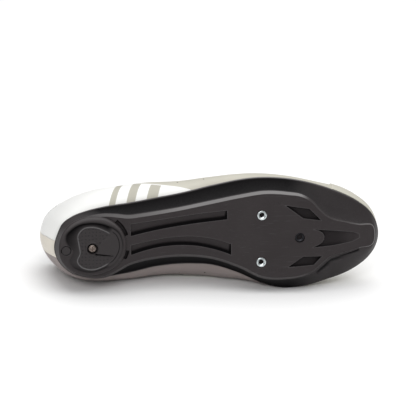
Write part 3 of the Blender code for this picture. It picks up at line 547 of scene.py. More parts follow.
# Tones: a random cloud, rubbed scuffs, painted shade (X), rubbed edges with painted highlights (Y), and a
# painted highlight on the chamfer, lip and ring shoulder (Z).
tone = linear("#282324")
for amount, code in (
    (cloud, "#312c2d"), (rubbed, "#4a484a"), (tones["X"], "#100f10"), (wear_and_highlight, "#8a898a"),
    (tones["Z"], "#747272"),
):
    mixed = add(tree, "Mix", {"Factor": amount, "A": tone, "B": linear(code)}, data_type="RGBA")
    tone = mixed.outputs["Result"]
tree.links.new(tone, shader.inputs["Base Color"])
shine = add(tree, "MapRange", {"Value": tones["X"], "To Min": 0.24, "To Max": 0.0}).outputs["Result"]
tree.links.new(shine, shader.inputs["Specular IOR Level"])
gloss = add(tree, "MapRange", {"Value": grain, "To Min": 0.36, "To Max": 0.56}).outputs["Result"]
for amount, roughness in ((tones["X"], 0.6), (tones["Z"], 0.30)):
    mixed = add(tree, "Mix", {"Factor": amount, "A": gloss, "B": roughness}, data_type="FLOAT")
    gloss = mixed.outputs["Result"]
tree.links.new(gloss, shader.inputs["Roughness"])
dents = add(tree, "Bump", {"Height": grain, "Strength": 0.06, "Distance": 0.0001})
tree.links.new(dents.outputs["Normal"], shader.inputs["Normal"])


def piece(name, points, faces, material, slot, *nodes, fields=None, sharp=None):
    """A mesh built standing, laid down with the shoe, with its standing place kept in mm for the shaders."""
    points = np.asarray(points, float)
    mesh = bpy.data.meshes.new(name)
    mesh.from_pydata(points.tolist(), [], [tuple(map(int, f)) for f in faces])
    form = bmesh.new()
    form.from_mesh(mesh)
    bmesh.ops.recalc_face_normals(form, faces=form.faces)
    form.to_mesh(mesh)
    form.free()
    for key, values in {"foot": points * 1000, **(fields or {})}.items():
        values = np.asarray(values, np.float32)
        kind = "FLOAT_VECTOR" if values.ndim == 2 else "FLOAT"
        layer = mesh.attributes.new(key, kind, "POINT")
        layer.data.foreach_set("vector" if values.ndim == 2 else "value", values.ravel())
    mesh.transform(LIE)
    mesh.materials.append(material)
    mesh.shade_smooth()
    if sharp:
        mesh.set_sharp_from_angle(angle=math.radians(sharp))
    made = bpy.data.objects.new(name, mesh)
    bpy.context.scene.collection.objects.link(made)
    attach(made, "root")
    if nodes:
        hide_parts(*nodes)
    return made


tones = np.concatenate([under_tone, wall_tone.reshape(-1, 3)])
piece(
    "outsole_moulding", points, faces, composite, "sole_composite", "outsole", fields={"tones": tones},
    sharp=42
)

# Heel ring: the raised round block of the same moulding as the sole, which the heel pad sits in. Its outer
# shoulder is round, and a small seat is sunk in its face for the plug.
FIT_GAP = 0.0003
BLOCK_FACE, BLOCK_ROOT, SEAT_FLOOR, SHOULDER_DROP = 0.0020, 0.0100, 0.0032, 0.0030
PLUG_CENTRE, PLUG_RADIUS, PLUG_SEAT = np.array((0.080, 0.007)) * SIZES[:2], 0.0037, 0.0045
RING_ROUND = 240


def polar(outline, centre, count):
    """A closed outline sampled at even angles round a centre, anticlockwise."""
    outline = smooth_closed(outline, 40) - centre
    angle = np.arctan2(outline[:, 1], outline[:, 0])
    order = np.argsort(angle)
    angle, radius = angle[order], np.hypot(*outline.T)[order]
    want = -np.pi + 2 * np.pi * np.arange(count) / count
    r = np.interp(want, angle, radius, period=2 * np.pi)
    return centre + np.stack([np.cos(want), np.sin(want)], 1) * r[:, None]


block = polar(HEEL_BLOCK, SCREW_CENTRE, RING_ROUND)[::-1]
seat = polar(PAD_OUTLINE, SCREW_CENTRE, RING_ROUND)[::-1]
rows = [at_height(grown(block, 0.0012), BLOCK_ROOT), at_height(grown(block, 0.0005), 0.0072)]
outer_line, inner_line = block, grown(seat, 0.0006)
for step in (0.0, 0.02, 0.06, 0.12, 0.19, 0.27, 0.36, 0.45, 0.54, 0.63, 0.72, 0.81, 0.90, 0.96, 1.0):
    drop = SHOULDER_DROP * (1 - np.sqrt(max(0.0, 1 - max(0.0, 1 - step / 0.62) ** 2.0)))
    rows.append(at_height(outer_line + (inner_line - outer_line) * step, BLOCK_FACE + drop))
for grow, z in (
    (0.0004, BLOCK_FACE + 0.0001), (0.0003, BLOCK_FACE + 0.0004), (0.0003, SEAT_FLOOR),
    (-0.002, SEAT_FLOOR)
):
    rows.append(at_height(grown(seat, grow), z))
ring_points = np.concatenate(rows)


def from_plug(points):
    """Distance in plan from the edge of the plug's seat."""
    return np.linalg.norm(points[:, :2] - PLUG_CENTRE, axis=1) - PLUG_RADIUS - FIT_GAP


def seat_edge(points):
    """Where the ring's flat face turns down into the plug's seat."""
    return (np.abs(from_plug(points)) < 0.0012) & (points[:, 2] < BLOCK_FACE + 0.0009)


ring_points, ring_faces = refined(ring_points, grid_faces(len(rows), RING_ROUND, wrap=True), seat_edge, 3)
in_seat = inside_of(from_plug(ring_points), 0.0005) * (ring_points[:, 2] < PLUG_SEAT)
ring_points[:, 2] += (PLUG_SEAT - ring_points[:, 2]) * in_seat
near_plug = np.exp(-((from_plug(ring_points) / 0.0004) ** 2))
shoulder = np.exp(-(((ring_points[:, 2] - BLOCK_FACE - 0.0008) / 0.0007) ** 2))
shoulder *= np.clip((SCREW_CENTRE[1] - ring_points[:, 1]) / 0.02, 0, 1)
to_seat = np.abs(signed_distance(ring_points, seat))
inner_edge = np.clip(1.4 - to_seat / 0.0016, 0, 1)
inner_edge *= np.interp(ring_points[:, 1] / WIDTH, (-0.16, -0.04, 0.02), (1.0, 0.8, 0.1))
# Ring tones: painted shade in the plug's seat and along the ring's inner edge by the pad, a paler rubbed
# ring round the plug, and a painted highlight on the outer shoulder.
ring_tone = np.stack([
    np.maximum(0.8 * in_seat, 0.9 * inner_edge),
    0.25 * near_plug * (1 - in_seat),
    0.22 * shoulder * (ring_points[:, 2] < 0.006),
], 1)
piece(
    "outsole_heel_ring", ring_points, ring_faces, composite, "sole_composite",
    fields={"tones": ring_tone}, sharp=60
)

# Heel pad: tread of dark moulded rubber, held by one screw so that it can be changed when it is worn. A
# crescent ridge bounds a dished field of small dots on either side of the screw, its rim slopes off toward
# the ring, and the toe part is a smooth raised wedge.
PAD_ROUND, HEAD_BORE, PAD_ROOF = 0.0007, 0.0044, SEAT_FLOOR - FIT_GAP
PAD_FIELD = np.array((
    (0.117, -0.050), (0.116, -0.140), (0.130, -0.186), (0.153, -0.197), (0.189, -0.162), (0.206, -0.126),
    (0.181, -0.064), (0.170, -0.022), (0.166, 0.012), (0.169, 0.046), (0.189, 0.066), (0.207, 0.082),
    (0.200, 0.122), (0.179, 0.160), (0.154, 0.180), (0.137, 0.172), (0.120, 0.144), (0.112, 0.106),
    (0.120, 0.030),
)) * SIZES[:2]
WEDGE_SIDE = np.array(
    (
        (0.215, -0.200), (0.206, -0.126), (0.150, 0.0), (0.200, 0.100), (0.205, 0.220), (0.280, 0.220),
        (0.280, -0.200)
    )
) * SIZES[:2]
SLIT_LINE = np.array(((0.163, 0.040), (0.214, 0.066), (0.215, 0.070), (0.163, 0.054))) * SIZES[:2]
FIELD_DEPTH, RIM_SLOPE, SLIT_CUT = 0.0006, 0.0017, 0.0014
pad_plan = polar(PAD_OUTLINE, SCREW_CENTRE, RING_ROUND)[::-1]
spokes = pad_plan - SCREW_CENTRE
reach = np.linalg.norm(spokes, axis=1)[:, None]
bore = SCREW_CENTRE + spokes / reach * HEAD_BORE
rows = [at_height(bore, PAD_ROOF), at_height(bore, 0.0007)]
inner_reach = SCREW_CENTRE + spokes / reach * (HEAD_BORE + 0.0004)
outer_reach = grown(pad_plan, -PAD_ROUND)
for step in np.linspace(0, 1, 72):
    rows.append(at_height(inner_reach + (outer_reach - inner_reach) * step, 0.0))
for inset, z in (
    (0.00045, 0.00008), (0.0002, 0.00025), (0.00005, 0.0005), (0.0, PAD_ROUND), (0.0, PAD_ROOF)
):
    rows.append(at_height(grown(pad_plan, -inset), z))
rows = np.array(rows)
face = rows[2:-1].reshape(-1, 3)
rim = -signed_distance(face, pad_plan)
field = signed_distance(face, smooth_closed(PAD_FIELD, 8))
wedge = signed_distance(face, WEDGE_SIDE)
from_screw = np.linalg.norm(face[:, :2] - SCREW_CENTRE, axis=1)
dished = inside_of(field, 0.0010) * inside_of(HEAD_BORE + 0.0014 - from_screw, 0.0010)
outside_ridge = np.clip((field - 0.0006) / np.maximum(field + rim - 0.0006, 1e-5), 0, 1)
slope = outside_ridge * np.clip(wedge / 0.003, 0, 1)
rim_line = np.exp(-(((rim - 0.0016) / 0.00025) ** 2)) * np.clip(-wedge / 0.002, 0, 1)
cut = inside_of(signed_distance(face, SLIT_LINE), 0.0006)
face[:, 2] += FIELD_DEPTH * dished + RIM_SLOPE * slope**0.7 + 0.0004 * rim_line + SLIT_CUT * cut
face[:, 2] = np.minimum(face[:, 2], PAD_ROOF - 0.0008)
rows[2:-1] = face.reshape(-1, RING_ROUND, 3)
# Pad marks: the dotted field, a painted highlight on the ridge, and painted shade on the slope toward the
# ring, in the rim line and in the slit.
pad_marks = np.zeros((*rows.shape[:2], 3))
ridge_line = np.exp(-(((field - 0.0003) / 0.0004) ** 2)) * np.clip(wedge / 0.002, 0, 1)
shaded = slope**0.5 * (slope > 0)
shaded *= np.interp(face[:, 1] / WIDTH, (-0.16, -0.06, 0.02, 0.12, 0.17), (1.0, 0.75, 0.3, 0.3, 0.6))
shaded = np.maximum(shaded, np.maximum(cut, rim_line))
pad_marks[2:-1] = np.stack([dished, ridge_line, shaded], 1).reshape(-1, RING_ROUND, 3)
# Moulded rubber: dull and near black, with small sunk dots in the dished field, darkened as painted shade,
# and a ridge rubbed paler with a painted highlight on it. Painted shade darkens the slope toward the ring,
# the rim line and the slit.
DOT_MM, RUBBER_GRAIN_MM = 2.94, 0.333
rubber, tree, shader = finish_of("pad_rubber", Roughness=0.55)
place = add(tree, "Attribute", attribute_name="foot").outputs["Vector"]
zones = add(tree, "Attribute", attribute_name="marks").outputs["Vector"]
zones = add(tree, "SeparateXYZ", {"Vector": zones}).outputs
cells = add(
    tree,
    "TexVoronoi",
    {"Vector": place, "Scale": 1 / DOT_MM, "Randomness": 0.25},
    voronoi_dimensions="2D",
).outputs["Distance"]
dots = add(
    tree, "MapRange", {"Value": cells, "From Min": 0.22, "From Max": 0.14, "To Max": 0.8}
).outputs["Result"]
dots = add(tree, "Math", {0: dots, 1: zones["X"]}, operation="MULTIPLY").outputs[0]
grain = add(
    tree, "TexNoise", {"Vector": place, "Scale": 1 / RUBBER_GRAIN_MM, "Detail": 3.0}
).outputs["Fac"]
wear_and_highlight = add(tree, "Math", {0: zones["Y"], 1: 0.75}, operation="MULTIPLY").outputs[0]
# Painted shade darkens the slopes and the dots; the ridge takes a painted highlight.
tone = linear("#272324")
for amount, code in ((grain, "#322e2f"), (zones["Z"], "#080708"), (wear_and_highlight, "#6a696a"), (dots, "#151415")):
    mixed = add(tree, "Mix", {"Factor": amount, "A": tone, "B": linear(code)}, data_type="RGBA")
    tone = mixed.outputs["Result"]
tree.links.new(tone, shader.inputs["Base Color"])
shine = add(tree, "MapRange", {"Value": zones["Z"], "To Min": 0.3, "To Max": 0.02}).outputs["Result"]
tree.links.new(shine, shader.inputs["Specular IOR Level"])
height = add(tree, "Math", {0: grain, 1: 0.25}, operation="MULTIPLY").outputs[0]
height = add(tree, "Math", {0: height, 1: dots}, operation="SUBTRACT").outputs[0]
relief = add(tree, "Bump", {"Height": height, "Strength": 0.8, "Distance": 0.0004})
tree.links.new(relief.outputs["Normal"], shader.inputs["Normal"])
pad_faces = grid_faces(len(rows), RING_ROUND, wrap=True)
piece("heel_pad_rubber", rows.reshape(-1, 3), pad_faces, rubber, "pad_rubber", "heel_pad",
      fields={"marks": pad_marks.reshape(-1, 3)}, sharp=60)

# Heel plug: small round button of the same rubber, pressed into its own seat behind the pad. Its face is
# nearly flush with the ring, with a rounded rim.


def turned(name, profile, centre, material, slot, *nodes, around=64, sharp=40):
    """A round piece about an upright axis, from (radius, height) rows."""
    angle = 2 * np.pi * np.arange(around) / around
    ring = np.stack([np.cos(angle), np.sin(angle)], 1)
    rows = [at_height(centre + ring * r, z) for r, z in profile]
    return piece(
        name,
        np.concatenate(rows),
        grid_faces(len(rows), around, wrap=True),
        material,
        slot,
        *nodes,
        sharp=sharp
    )


turned("heel_plug_button", (
    (0.00001, BLOCK_FACE + 0.0001), (0.0012, BLOCK_FACE + 0.0001), (0.0024, BLOCK_FACE),
    (0.0031, BLOCK_FACE + 0.00008),
    (0.0035, BLOCK_FACE + 0.0003),
    (PLUG_RADIUS, BLOCK_FACE + 0.0007),
    (PLUG_RADIUS, PLUG_SEAT - FIT_GAP),
    (0.00001, PLUG_SEAT - FIT_GAP),
), PLUG_CENTRE, rubber, "pad_rubber", "heel_plug")


def two_toned(name, kind, size_mm, pattern, dark, light, raised=None, between=(0.0, 1.0), **inputs):
    """A finish that runs between two tones over one pattern of a real size, and may be raised by it."""
    made, tree, shader = finish_of(name, **inputs)
    place = add(tree, "Attribute", attribute_name="foot").outputs["Vector"]
    drawn = add(tree, kind, {"Vector": place, "Scale": 1 / size_mm, **pattern}).outputs
    shade = drawn["Distance" if kind == "TexVoronoi" else "Fac"]
    share = add(tree, "MapRange", {"Value": shade, "From Min": between[0], "From Max": between[1]})
    share = share.outputs["Result"]
    tone = add(tree, "Mix", {"Factor": share, "A": linear(dark), "B": linear(light)}, data_type="RGBA")
    tree.links.new(tone.outputs["Result"], shader.inputs["Base Color"])
    if raised:
        relief = add(tree, "Bump", {"Height": shade, "Strength": raised[0], "Distance": raised[1]})
        tree.links.new(relief.outputs["Normal"], shader.inputs["Normal"])
    return made, tree, shader, shade


# Heel screw: steel machine screw with a pan head and a cross recess pressed into it. It is turned down into
# the sole through the pad. Its plating has dulled to a brownish grey, with darker stains.
HEAD_RADIUS, HEAD_FACE = 0.0032, 0.0008
CROSS_LONG, CROSS_WIDE, CROSS_DEEP = 0.0019, 0.00045, 0.0010
dull_steel, *_ = two_toned(
    "dull_steel", "TexNoise", 0.714, {"Detail": 4.0}, "#5c4a42", "#a39a94", raised=(0.3, 0.0001),
    between=(0.38, 0.64), Metallic=1.0, Roughness=0.42,
)
radii = np.concatenate(
    [
        np.linspace(0.00001, HEAD_RADIUS - 0.0009, 22),
        HEAD_RADIUS - np.array((0.0006, 0.0003, 0.0001, 0.0))
    ]
)
angle = 2 * np.pi * np.arange(96) / 96
disc = SCREW_CENTRE + radii[:, None, None] * np.stack([np.cos(angle), np.sin(angle)], 1)
crown = HEAD_FACE + 0.0007 * np.clip((radii - 0.0017) / 0.0015, 0, 1) ** 2.2
heads = np.dstack([disc, np.broadcast_to(crown[:, None], disc.shape[:2])])
off = np.abs(heads[:, :, :2] - SCREW_CENTRE)
arms = [np.maximum(off[:, :, i] - CROSS_LONG, off[:, :, 1 - i] - CROSS_WIDE) for i in (0, 1)]
heads[:, :, 2] += CROSS_DEEP * inside_of(np.minimum(*arms), 0.0003)
skirt = at_height(disc[-1], PAD_ROOF)
points = np.concatenate([heads.reshape(-1, 3), skirt])
piece(
    "heel_screw_head",
    points,
    grid_faces(len(radii) + 1, 96, wrap=True),
    dull_steel,
    "steel",
    "heel_screw",
    sharp=50
)

# Cleat nuts: round threaded steel barrels let into the ball of the sole, which take the cleat's bolts. The
# rear two are bright zinc plated, with faint clouds in the shine. The front one is deeper and blackened.
steel, tree, shader, cloud = two_toned(
    "zinc_steel", "TexNoise", 0.909, {"Detail": 3.0}, "#aeb6b8", "#dde3e4", Metallic=1.0, Roughness=0.28,
)
rough = add(tree, "MapRange", {"Value": cloud, "To Min": 0.20, "To Max": 0.40})
tree.links.new(rough.outputs["Result"], shader.inputs["Roughness"])
black_steel, *_ = two_toned(
    "black_steel", "TexNoise", 0.556, {"Detail": 3.0}, "#1b1b1d", "#47474b", Metallic=1.0, Roughness=0.4,
)
THREAD_PITCH, THREAD_DEEP, THREAD_STEPS = 0.0004, 0.00018, 26
for name, (x, y, face) in NUTS.items():
    bore = [
        (NUT_BORE + THREAD_DEEP * math.sin(k * math.pi / 2), face + 0.0005 + k * THREAD_PITCH / 4)
        for k in range(THREAD_STEPS)
    ]
    turned(name + "_barrel", (
        (NUT_RADIUS, NUT_ROOF),
        (NUT_RADIUS, face + 0.0006),
        (NUT_RADIUS - 0.00015, face + 0.0002),
        (NUT_RADIUS - 0.0005, face),
        (NUT_BORE + 0.0006, face),
        (NUT_BORE + 0.0002, face + 0.0003),
        *bore,
        (NUT_BORE, NUT_ROOF),
        (0.00001, NUT_ROOF),
    ), np.array((x, y)) * SIZES[:2], black_steel if "front" in name else steel, "steel", name, sharp=35)

# Upper: one hollow shell of coated synthetic leather, lasted over a form and glued down on the sole. Each
# place round the bite line has its own profile, a curve up to the rim of the collar or throat. The heel
# quarter is printed white with leaning grey bars.
UPPER_COLUMNS = ("along", "out", "lift", "rim_x", "rim_y", "rim_z", "back", "side", "drop", "pad")
UPPER_OUTER = (
    UPPER_COLUMNS,
    (0.051, 0.118, 0.088, 0.031, 0.010, 0.745, -0.020, 0.000, -0.255, 1.5),
    (0.062, 0.060, 0.088, 0.043, -0.115, 0.740, -0.024, -0.020, -0.245, 1.5),
    (0.082, 0.055, 0.088, 0.069, -0.199, 0.725, -0.016, -0.045, -0.235, 1.5),
    (0.124, 0.085, 0.088, 0.113, -0.275, 0.691, -0.007, -0.110, -0.216, 1.5),
    (0.192, 0.155, 0.088, 0.179, -0.320, 0.637, 0.000, -0.157, -0.196, 1.5),
    (0.275, 0.165, 0.098, 0.261, -0.320, 0.625, 0.000, -0.189, -0.196, 1.5),
    (0.344, 0.185, 0.108, 0.333, -0.270, 0.701, 0.000, -0.231, -0.206, 1.0),
    (0.395, 0.175, 0.127, 0.378, -0.203, 0.814, 0.000, -0.241, -0.235, 0.4),
    (0.447, 0.145, 0.137, 0.430, -0.185, 0.794, 0.003, -0.252, -0.206, 0.1),
    (0.515, 0.135, 0.150, 0.485, -0.168, 0.735, 0.010, -0.262, -0.167, 0.0),
    (0.584, 0.105, 0.160, 0.533, -0.153, 0.676, 0.021, -0.275, -0.137, 0.0),
    (0.653, 0.080, 0.175, 0.574, -0.139, 0.627, 0.031, -0.288, -0.118, 0.0),
    (0.729, 0.060, 0.185, 0.608, -0.118, 0.591, 0.048, -0.295, -0.098, 0.0),
    (0.811, 0.065, 0.188, 0.636, -0.089, 0.564, 0.089, -0.290, -0.088, 0.0),
    (0.900, 0.135, 0.195, 0.653, -0.052, 0.547, 0.144, -0.265, -0.083, 0.0),
    (0.966, 0.130, 0.180, 0.660, -0.021, 0.540, 0.186, -0.165, -0.078, 0.0),
    (0.998, 0.040, 0.165, 0.662, 0.010, 0.539, 0.206, 0.021, -0.078, 0.0),
)
UPPER_INNER = (
    UPPER_COLUMNS,
    (0.062, 0.035, 0.080, 0.043, 0.131, 0.740, -0.024, 0.063, -0.245, 1.5),
    (0.082, 0.062, 0.075, 0.069, 0.215, 0.725, -0.016, 0.084, -0.235, 1.5),
    (0.124, 0.085, 0.070, 0.113, 0.300, 0.691, -0.007, 0.050, -0.310, 1.5),
    (0.192, 0.110, 0.070, 0.179, 0.345, 0.642, 0.000, 0.045, -0.300, 1.5),
    (0.275, 0.135, 0.080, 0.261, 0.348, 0.647, 0.000, 0.045, -0.300, 1.5),
    (0.344, 0.190, 0.095, 0.333, 0.305, 0.720, 0.000, 0.070, -0.330, 1.0),
    (0.395, 0.232, 0.100, 0.378, 0.236, 0.833, 0.000, 0.136, -0.235, 0.4),
    (0.447, 0.280, 0.100, 0.430, 0.220, 0.804, 0.003, 0.157, -0.206, 0.1),
    (0.515, 0.280, 0.105, 0.485, 0.194, 0.745, 0.010, 0.189, -0.167, 0.0),
    (0.584, 0.205, 0.120, 0.533, 0.173, 0.686, 0.021, 0.220, -0.137, 0.0),
    (0.653, 0.065, 0.150, 0.574, 0.155, 0.632, 0.031, 0.225, -0.118, 0.0),
    (0.729, -0.005, 0.157, 0.608, 0.134, 0.593, 0.048, 0.215, -0.098, 0.0),
    (0.811, 0.000, 0.157, 0.636, 0.103, 0.567, 0.089, 0.200, -0.088, 0.0),
    (0.900, 0.010, 0.157, 0.653, 0.068, 0.549, 0.144, 0.178, -0.083, 0.0),
    (0.966, 0.010, 0.147, 0.660, 0.037, 0.541, 0.186, 0.115, -0.078, 0.0),
)
UPPER_WALL, UPPER_INSET, PAD_WALL = 0.0026, 0.0008, 0.0020
SKIN_ROWS = 84
TABLE_ANGLES, SMOOTHING = 2 * np.pi * np.arange(1440) / 1440, 4.5


def around(name, angle):
    """One column of both tables, carried round the shoe without kinks."""
    turns = []
    for table in (UPPER_OUTER, UPPER_INNER):
        share = (column(table, "along") - SOLE_HEEL[0]) / (SOLE_TOE[0] - SOLE_HEEL[0])
        turns.append(np.arccos(1 - 2 * np.clip(share, 0, 1)))
    places = np.concatenate([turns[0], 2 * np.pi - turns[1][::-1]])
    values = np.concatenate([column(UPPER_OUTER, name), column(UPPER_INNER, name)[::-1]])
    places = np.concatenate([places[-3:] - 2 * np.pi, places, places[:3] + 2 * np.pi])
    values = np.concatenate([values[-3:], values, values[:3]])
    dense = ease(TABLE_ANGLES, places, values)
    away = (TABLE_ANGLES + np.pi) % (2 * np.pi) - np.pi
    bell = np.exp(-((away / math.radians(SMOOTHING)) ** 2) / 2)
    soft = np.fft.irfft(np.fft.rfft(dense) * np.fft.rfft(bell / bell.sum()), len(dense))
    return np.interp(angle, TABLE_ANGLES, soft, period=2 * np.pi)


def grid_normals(grid, closed):
    """Outward unit normals of a grid whose rows climb and whose columns run round the shoe."""
    if closed:
        round_step = np.roll(grid, -1, 1) - np.roll(grid, 1, 1)
    else:
        round_step = np.gradient(grid, axis=1)
    normal = np.cross(round_step, np.gradient(grid, axis=0))
    return normal / np.linalg.norm(normal, axis=2)[:, :, None]


def skin(angle, t):
    """The upper's outer face at places round the shoe and shares of the way up to the rim."""
    line = edge_loop(angle)
    low = at_height(grown(line, -UPPER_INSET), line[:, 2] + RIM_RISE + FIT_GAP)
    high = np.stack([around(n, angle) for n in ("rim_x", "rim_y", "rim_z")], 1) * SIZES
    low_handle = low + np.column_stack([
        outward(line) * around("out", angle)[:, None] * WIDTH,
        around("lift", angle) * HEIGHT,
    ])
    high_handle = high + np.stack([around(n, angle) for n in ("back", "side", "drop")], 1) * SIZES
    t = np.asarray(t)[:, None, None]
    back = 1 - t
    return back**3 * low + 3 * t * back**2 * low_handle + 3 * t * t * back * high_handle + t**3 * high


heights = np.linspace(0, 1, SKIN_ROWS)
outer_skin = skin(ANGLES, heights)
normals = grid_normals(outer_skin, True)
plain_skin = outer_skin.copy()
rise = np.linalg.norm(np.diff(outer_skin, axis=0), axis=2)
up_from_sole = np.concatenate([np.zeros((1, ROUND)), np.cumsum(rise, axis=0)]) * 1000
down_from_rim = up_from_sole[-1] - up_from_sole
place_mm = outer_skin * 1000
x_mm, y_mm, z_mm = place_mm[:, :, 0], place_mm[:, :, 1], place_mm[:, :, 2]

# The white quarter, its bars and the other panels, drawn in mm: x along the shoe, y across, z up. Each is
# kept as a distance from the panel's edge, so that the edge stays crisp at any size of the picture.
WHITE_FRONT = (
    (136, 20), (124, 29), (110, 34), (92, 38.5), (75, 44), (59, 52), (46, 62), (36, 74), (30, 84)
)
BARS = ((60, 5.0), (74, 7.0), (90, 9.0))
HEEL_STRIP = ((17.0, -4.5, 10.8), (30.0, -5.3, 10.0), (51.0, -3.5, 10.0), (80.0, -2.5, 9.0))
INNER_PANEL = ((20, 66), (50, 53), (90, 45), (140, 40), (185, 33), (206, 16))
FACING, RIM_SEAM = 13.0, 2.6
CREASES = ((158, 0.26, 0.50, 3.2), (168, 0.32, 0.75, 3.6), (178, 0.30, 0.60, 3.4), (189, 0.22, 0.40, 3.8))
flat_x, flat_y, flat_z = x_mm.ravel(), y_mm.ravel(), z_mm.ravel()
strip_places = np.array(HEEL_STRIP)
strip_outer = flat_y - np.interp(flat_z, strip_places[:, 0], strip_places[:, 1])
strip_inner = flat_y - np.interp(flat_z, strip_places[:, 0], strip_places[:, 2])
at_heel = np.clip(flat_x - 34, 0, 40)
front_x, front_z = np.array(WHITE_FRONT).T
front, ahead = (
    np.mean([ease(flat_z + step + up, front_z, front_x) for step in np.linspace(-5, 5, 11)], axis=0)
    for up in (0.0, 0.5)
)
front_slope = (ahead - front) / 0.5
white = (flat_x - front) / np.hypot(1, front_slope)
white = np.maximum(white, strip_outer)
bars = np.full(len(white), 1e3)
for start, width in BARS:
    lean = start + (flat_z - 20) * 0.45
    bars = np.minimum(bars, np.abs(flat_x - lean - width / 2) - width / 2)
bars = np.maximum(bars, white + 1.2)
heel_strip = np.maximum(np.maximum(-strip_outer, strip_inner), at_heel)
piping = np.where(flat_x > 36, 50, strip_outer)
# Grey-mauve panel on the lower inner side, below the INNER_PANEL line: real colour at the heel, and painted
# shade along the arch, which faces the floor.
above_counter = flat_z - ease(flat_x, *np.array(INNER_PANEL).T)
counter = np.maximum(np.where(flat_x > 60, -50, -strip_inner), np.maximum(-flat_y, above_counter))
facing_width = FACING * ease(outer_skin[-1, :, 0] * 1000, (80, 108), (0.0, 1.0))
facing = np.where(facing_width > 0.3, down_from_rim - facing_width, 20).ravel()
tuck = 0.0004 * np.exp(-up_from_sole / 1.2)
flex = np.zeros_like(x_mm)
for x, lean, depth, wide in CREASES:
    off = x_mm - x - lean * np.abs(y_mm + 4)
    flex += depth * (np.exp(-((off / wide) ** 2)) - 0.45 * np.exp(-(((off - 1.7 * wide) / wide) ** 2)))
flex *= np.clip((z_mm - 30) / 16, 0, 1) * 0.001
outer_skin = outer_skin - normals * (tuck + flex)[:, :, None]

# Coated synthetic leather: satin, light grey, finely pebbled, with slow clouds of tone. It is dirtied a
# little above the sole, its seams and panel edges read as thin shaded lines, and the grey-mauve panel on its
# lower inner side is partly painted shade.
CLOUD_MM, PEBBLE_MM, PORE_MM = 25.0, 0.588, 0.385
synthetic, tree, shader = finish_of("upper_synthetic", Specular_IOR_Level=0.35)
place = add(tree, "Attribute", attribute_name="foot").outputs["Vector"]
panels, trims = (
    add(
        tree, "SeparateXYZ", {"Vector": add(tree, "Attribute", attribute_name=name).outputs["Vector"]}
    ).outputs
    for name in ("panels", "trims")
)
above_sole = add(tree, "Attribute", attribute_name="above_sole").outputs["Fac"]


def line_at(field, middle, half):
    """A soft line where a field passes a value."""
    off = add(tree, "Math", {0: field, 1: middle}, operation="SUBTRACT").outputs[0]
    off = add(tree, "Math", {0: off}, operation="ABSOLUTE").outputs[0]
    soft = {"Value": off, "From Min": half, "From Max": 0.0}
    return add(tree, "MapRange", soft, interpolation_type="SMOOTHSTEP").outputs["Result"]


cloud = add(tree, "TexNoise", {"Vector": place, "Scale": 1 / CLOUD_MM, "Detail": 5.0}).outputs["Fac"]
pebble = add(
    tree, "TexVoronoi", {"Vector": place, "Scale": 1 / PEBBLE_MM, "Randomness": 1.0}, feature="SMOOTH_F1",
).outputs["Distance"]
pore = add(tree, "TexNoise", {
    "Vector": place, "Scale": 1 / PORE_MM, "Detail": 4.0, "Roughness": 0.6,
}).outputs["Fac"]
inside = {}
for name, field, soft in (
    ("facing", trims["Z"], 0.12), ("white", panels["X"], 0.12), ("bars", panels["Y"], 0.12),
    ("strip", panels["Z"], 0.12), ("counter", trims["Y"], 0.12), ("overlay", trims["Z"], 0.3),
):
    inside[name] = add(
        tree, "MapRange", {"Value": field, "From Min": soft, "From Max": -soft}
    ).outputs["Result"]
bead = line_at(trims["X"], -0.3, 0.9)
white_edge = add(
    tree, "Math", {0: line_at(panels["X"], 0.0, 0.22), 1: 0.3}, operation="MULTIPLY"
).outputs[0]
seam = line_at(trims["Z"], 0.0, 0.35)
for other in (line_at(trims["Y"], 0.0, 0.3), white_edge):
    seam = add(tree, "Math", {0: seam, 1: other}, operation="MAXIMUM").outputs[0]
seam_shade = add(tree, "Math", {0: seam, 1: 0.55}, operation="MULTIPLY").outputs[0]
low = add(
    tree, "MapRange", {"Value": above_sole, "From Min": 6.0, "From Max": 0.0, "To Max": 0.35}
).outputs["Result"]
dirt = add(tree, "Math", {0: low, 1: pore}, operation="MULTIPLY").outputs[0]
# The grey-mauve colour of the lower inner panel is partly painted shade.
tone = linear("#b9b6aa")
for amount, code in (
    (cloud, "#c6c3b7"), (inside["facing"], "#d0cdc2"), (inside["white"], "#ececea"),
    (inside["bars"], "#b1aea2"),
    (inside["strip"], "#f8efe3"), (inside["counter"], "#8f8583"), (bead, "#eeeeec"),
    (seam_shade, "#7d786f"),
    (dirt, "#8b8579"),
):
    mixed = add(tree, "Mix", {"Factor": amount, "A": tone, "B": linear(code)}, data_type="RGBA")
    tone = mixed.outputs["Result"]
tree.links.new(tone, shader.inputs["Base Color"])
rough = add(tree, "MapRange", {"Value": pore, "To Min": 0.42, "To Max": 0.58}).outputs["Result"]
tree.links.new(rough, shader.inputs["Roughness"])
height = add(tree, "Math", {0: pebble, 1: 0.14}, operation="MULTIPLY").outputs[0]
for form, rise in ((pore, 0.05), (bead, 1.2), (inside["overlay"], 0.9), (seam, -0.5)):
    height = add(tree, "Math", {0: form, 1: rise, 2: height}, operation="MULTIPLY_ADD").outputs[0]
relief = add(tree, "Bump", {"Height": height, "Strength": 0.7, "Distance": 0.0005})
tree.links.new(relief.outputs["Normal"], shader.inputs["Normal"])
upper_faces = grid_faces(SKIN_ROWS, ROUND, wrap=True)
piece("upper_shell", outer_skin.reshape(-1, 3), upper_faces, synthetic, "upper_synthetic", "upper", fields={
    "panels": np.stack([white, bars, heel_strip], 1),
    "trims": np.stack([piping, counter, facing], 1),
    "above_sole": up_from_sole.ravel(),
})

# Stitching: rows of short stitches in pale twisted polyester thread. One runs round the rim and holds the
# lining's binding, and one holds the facing down on both sides of the throat.
STITCH, STITCH_STEP = (0.0021, 0.00055, 0.00026), 0.0029


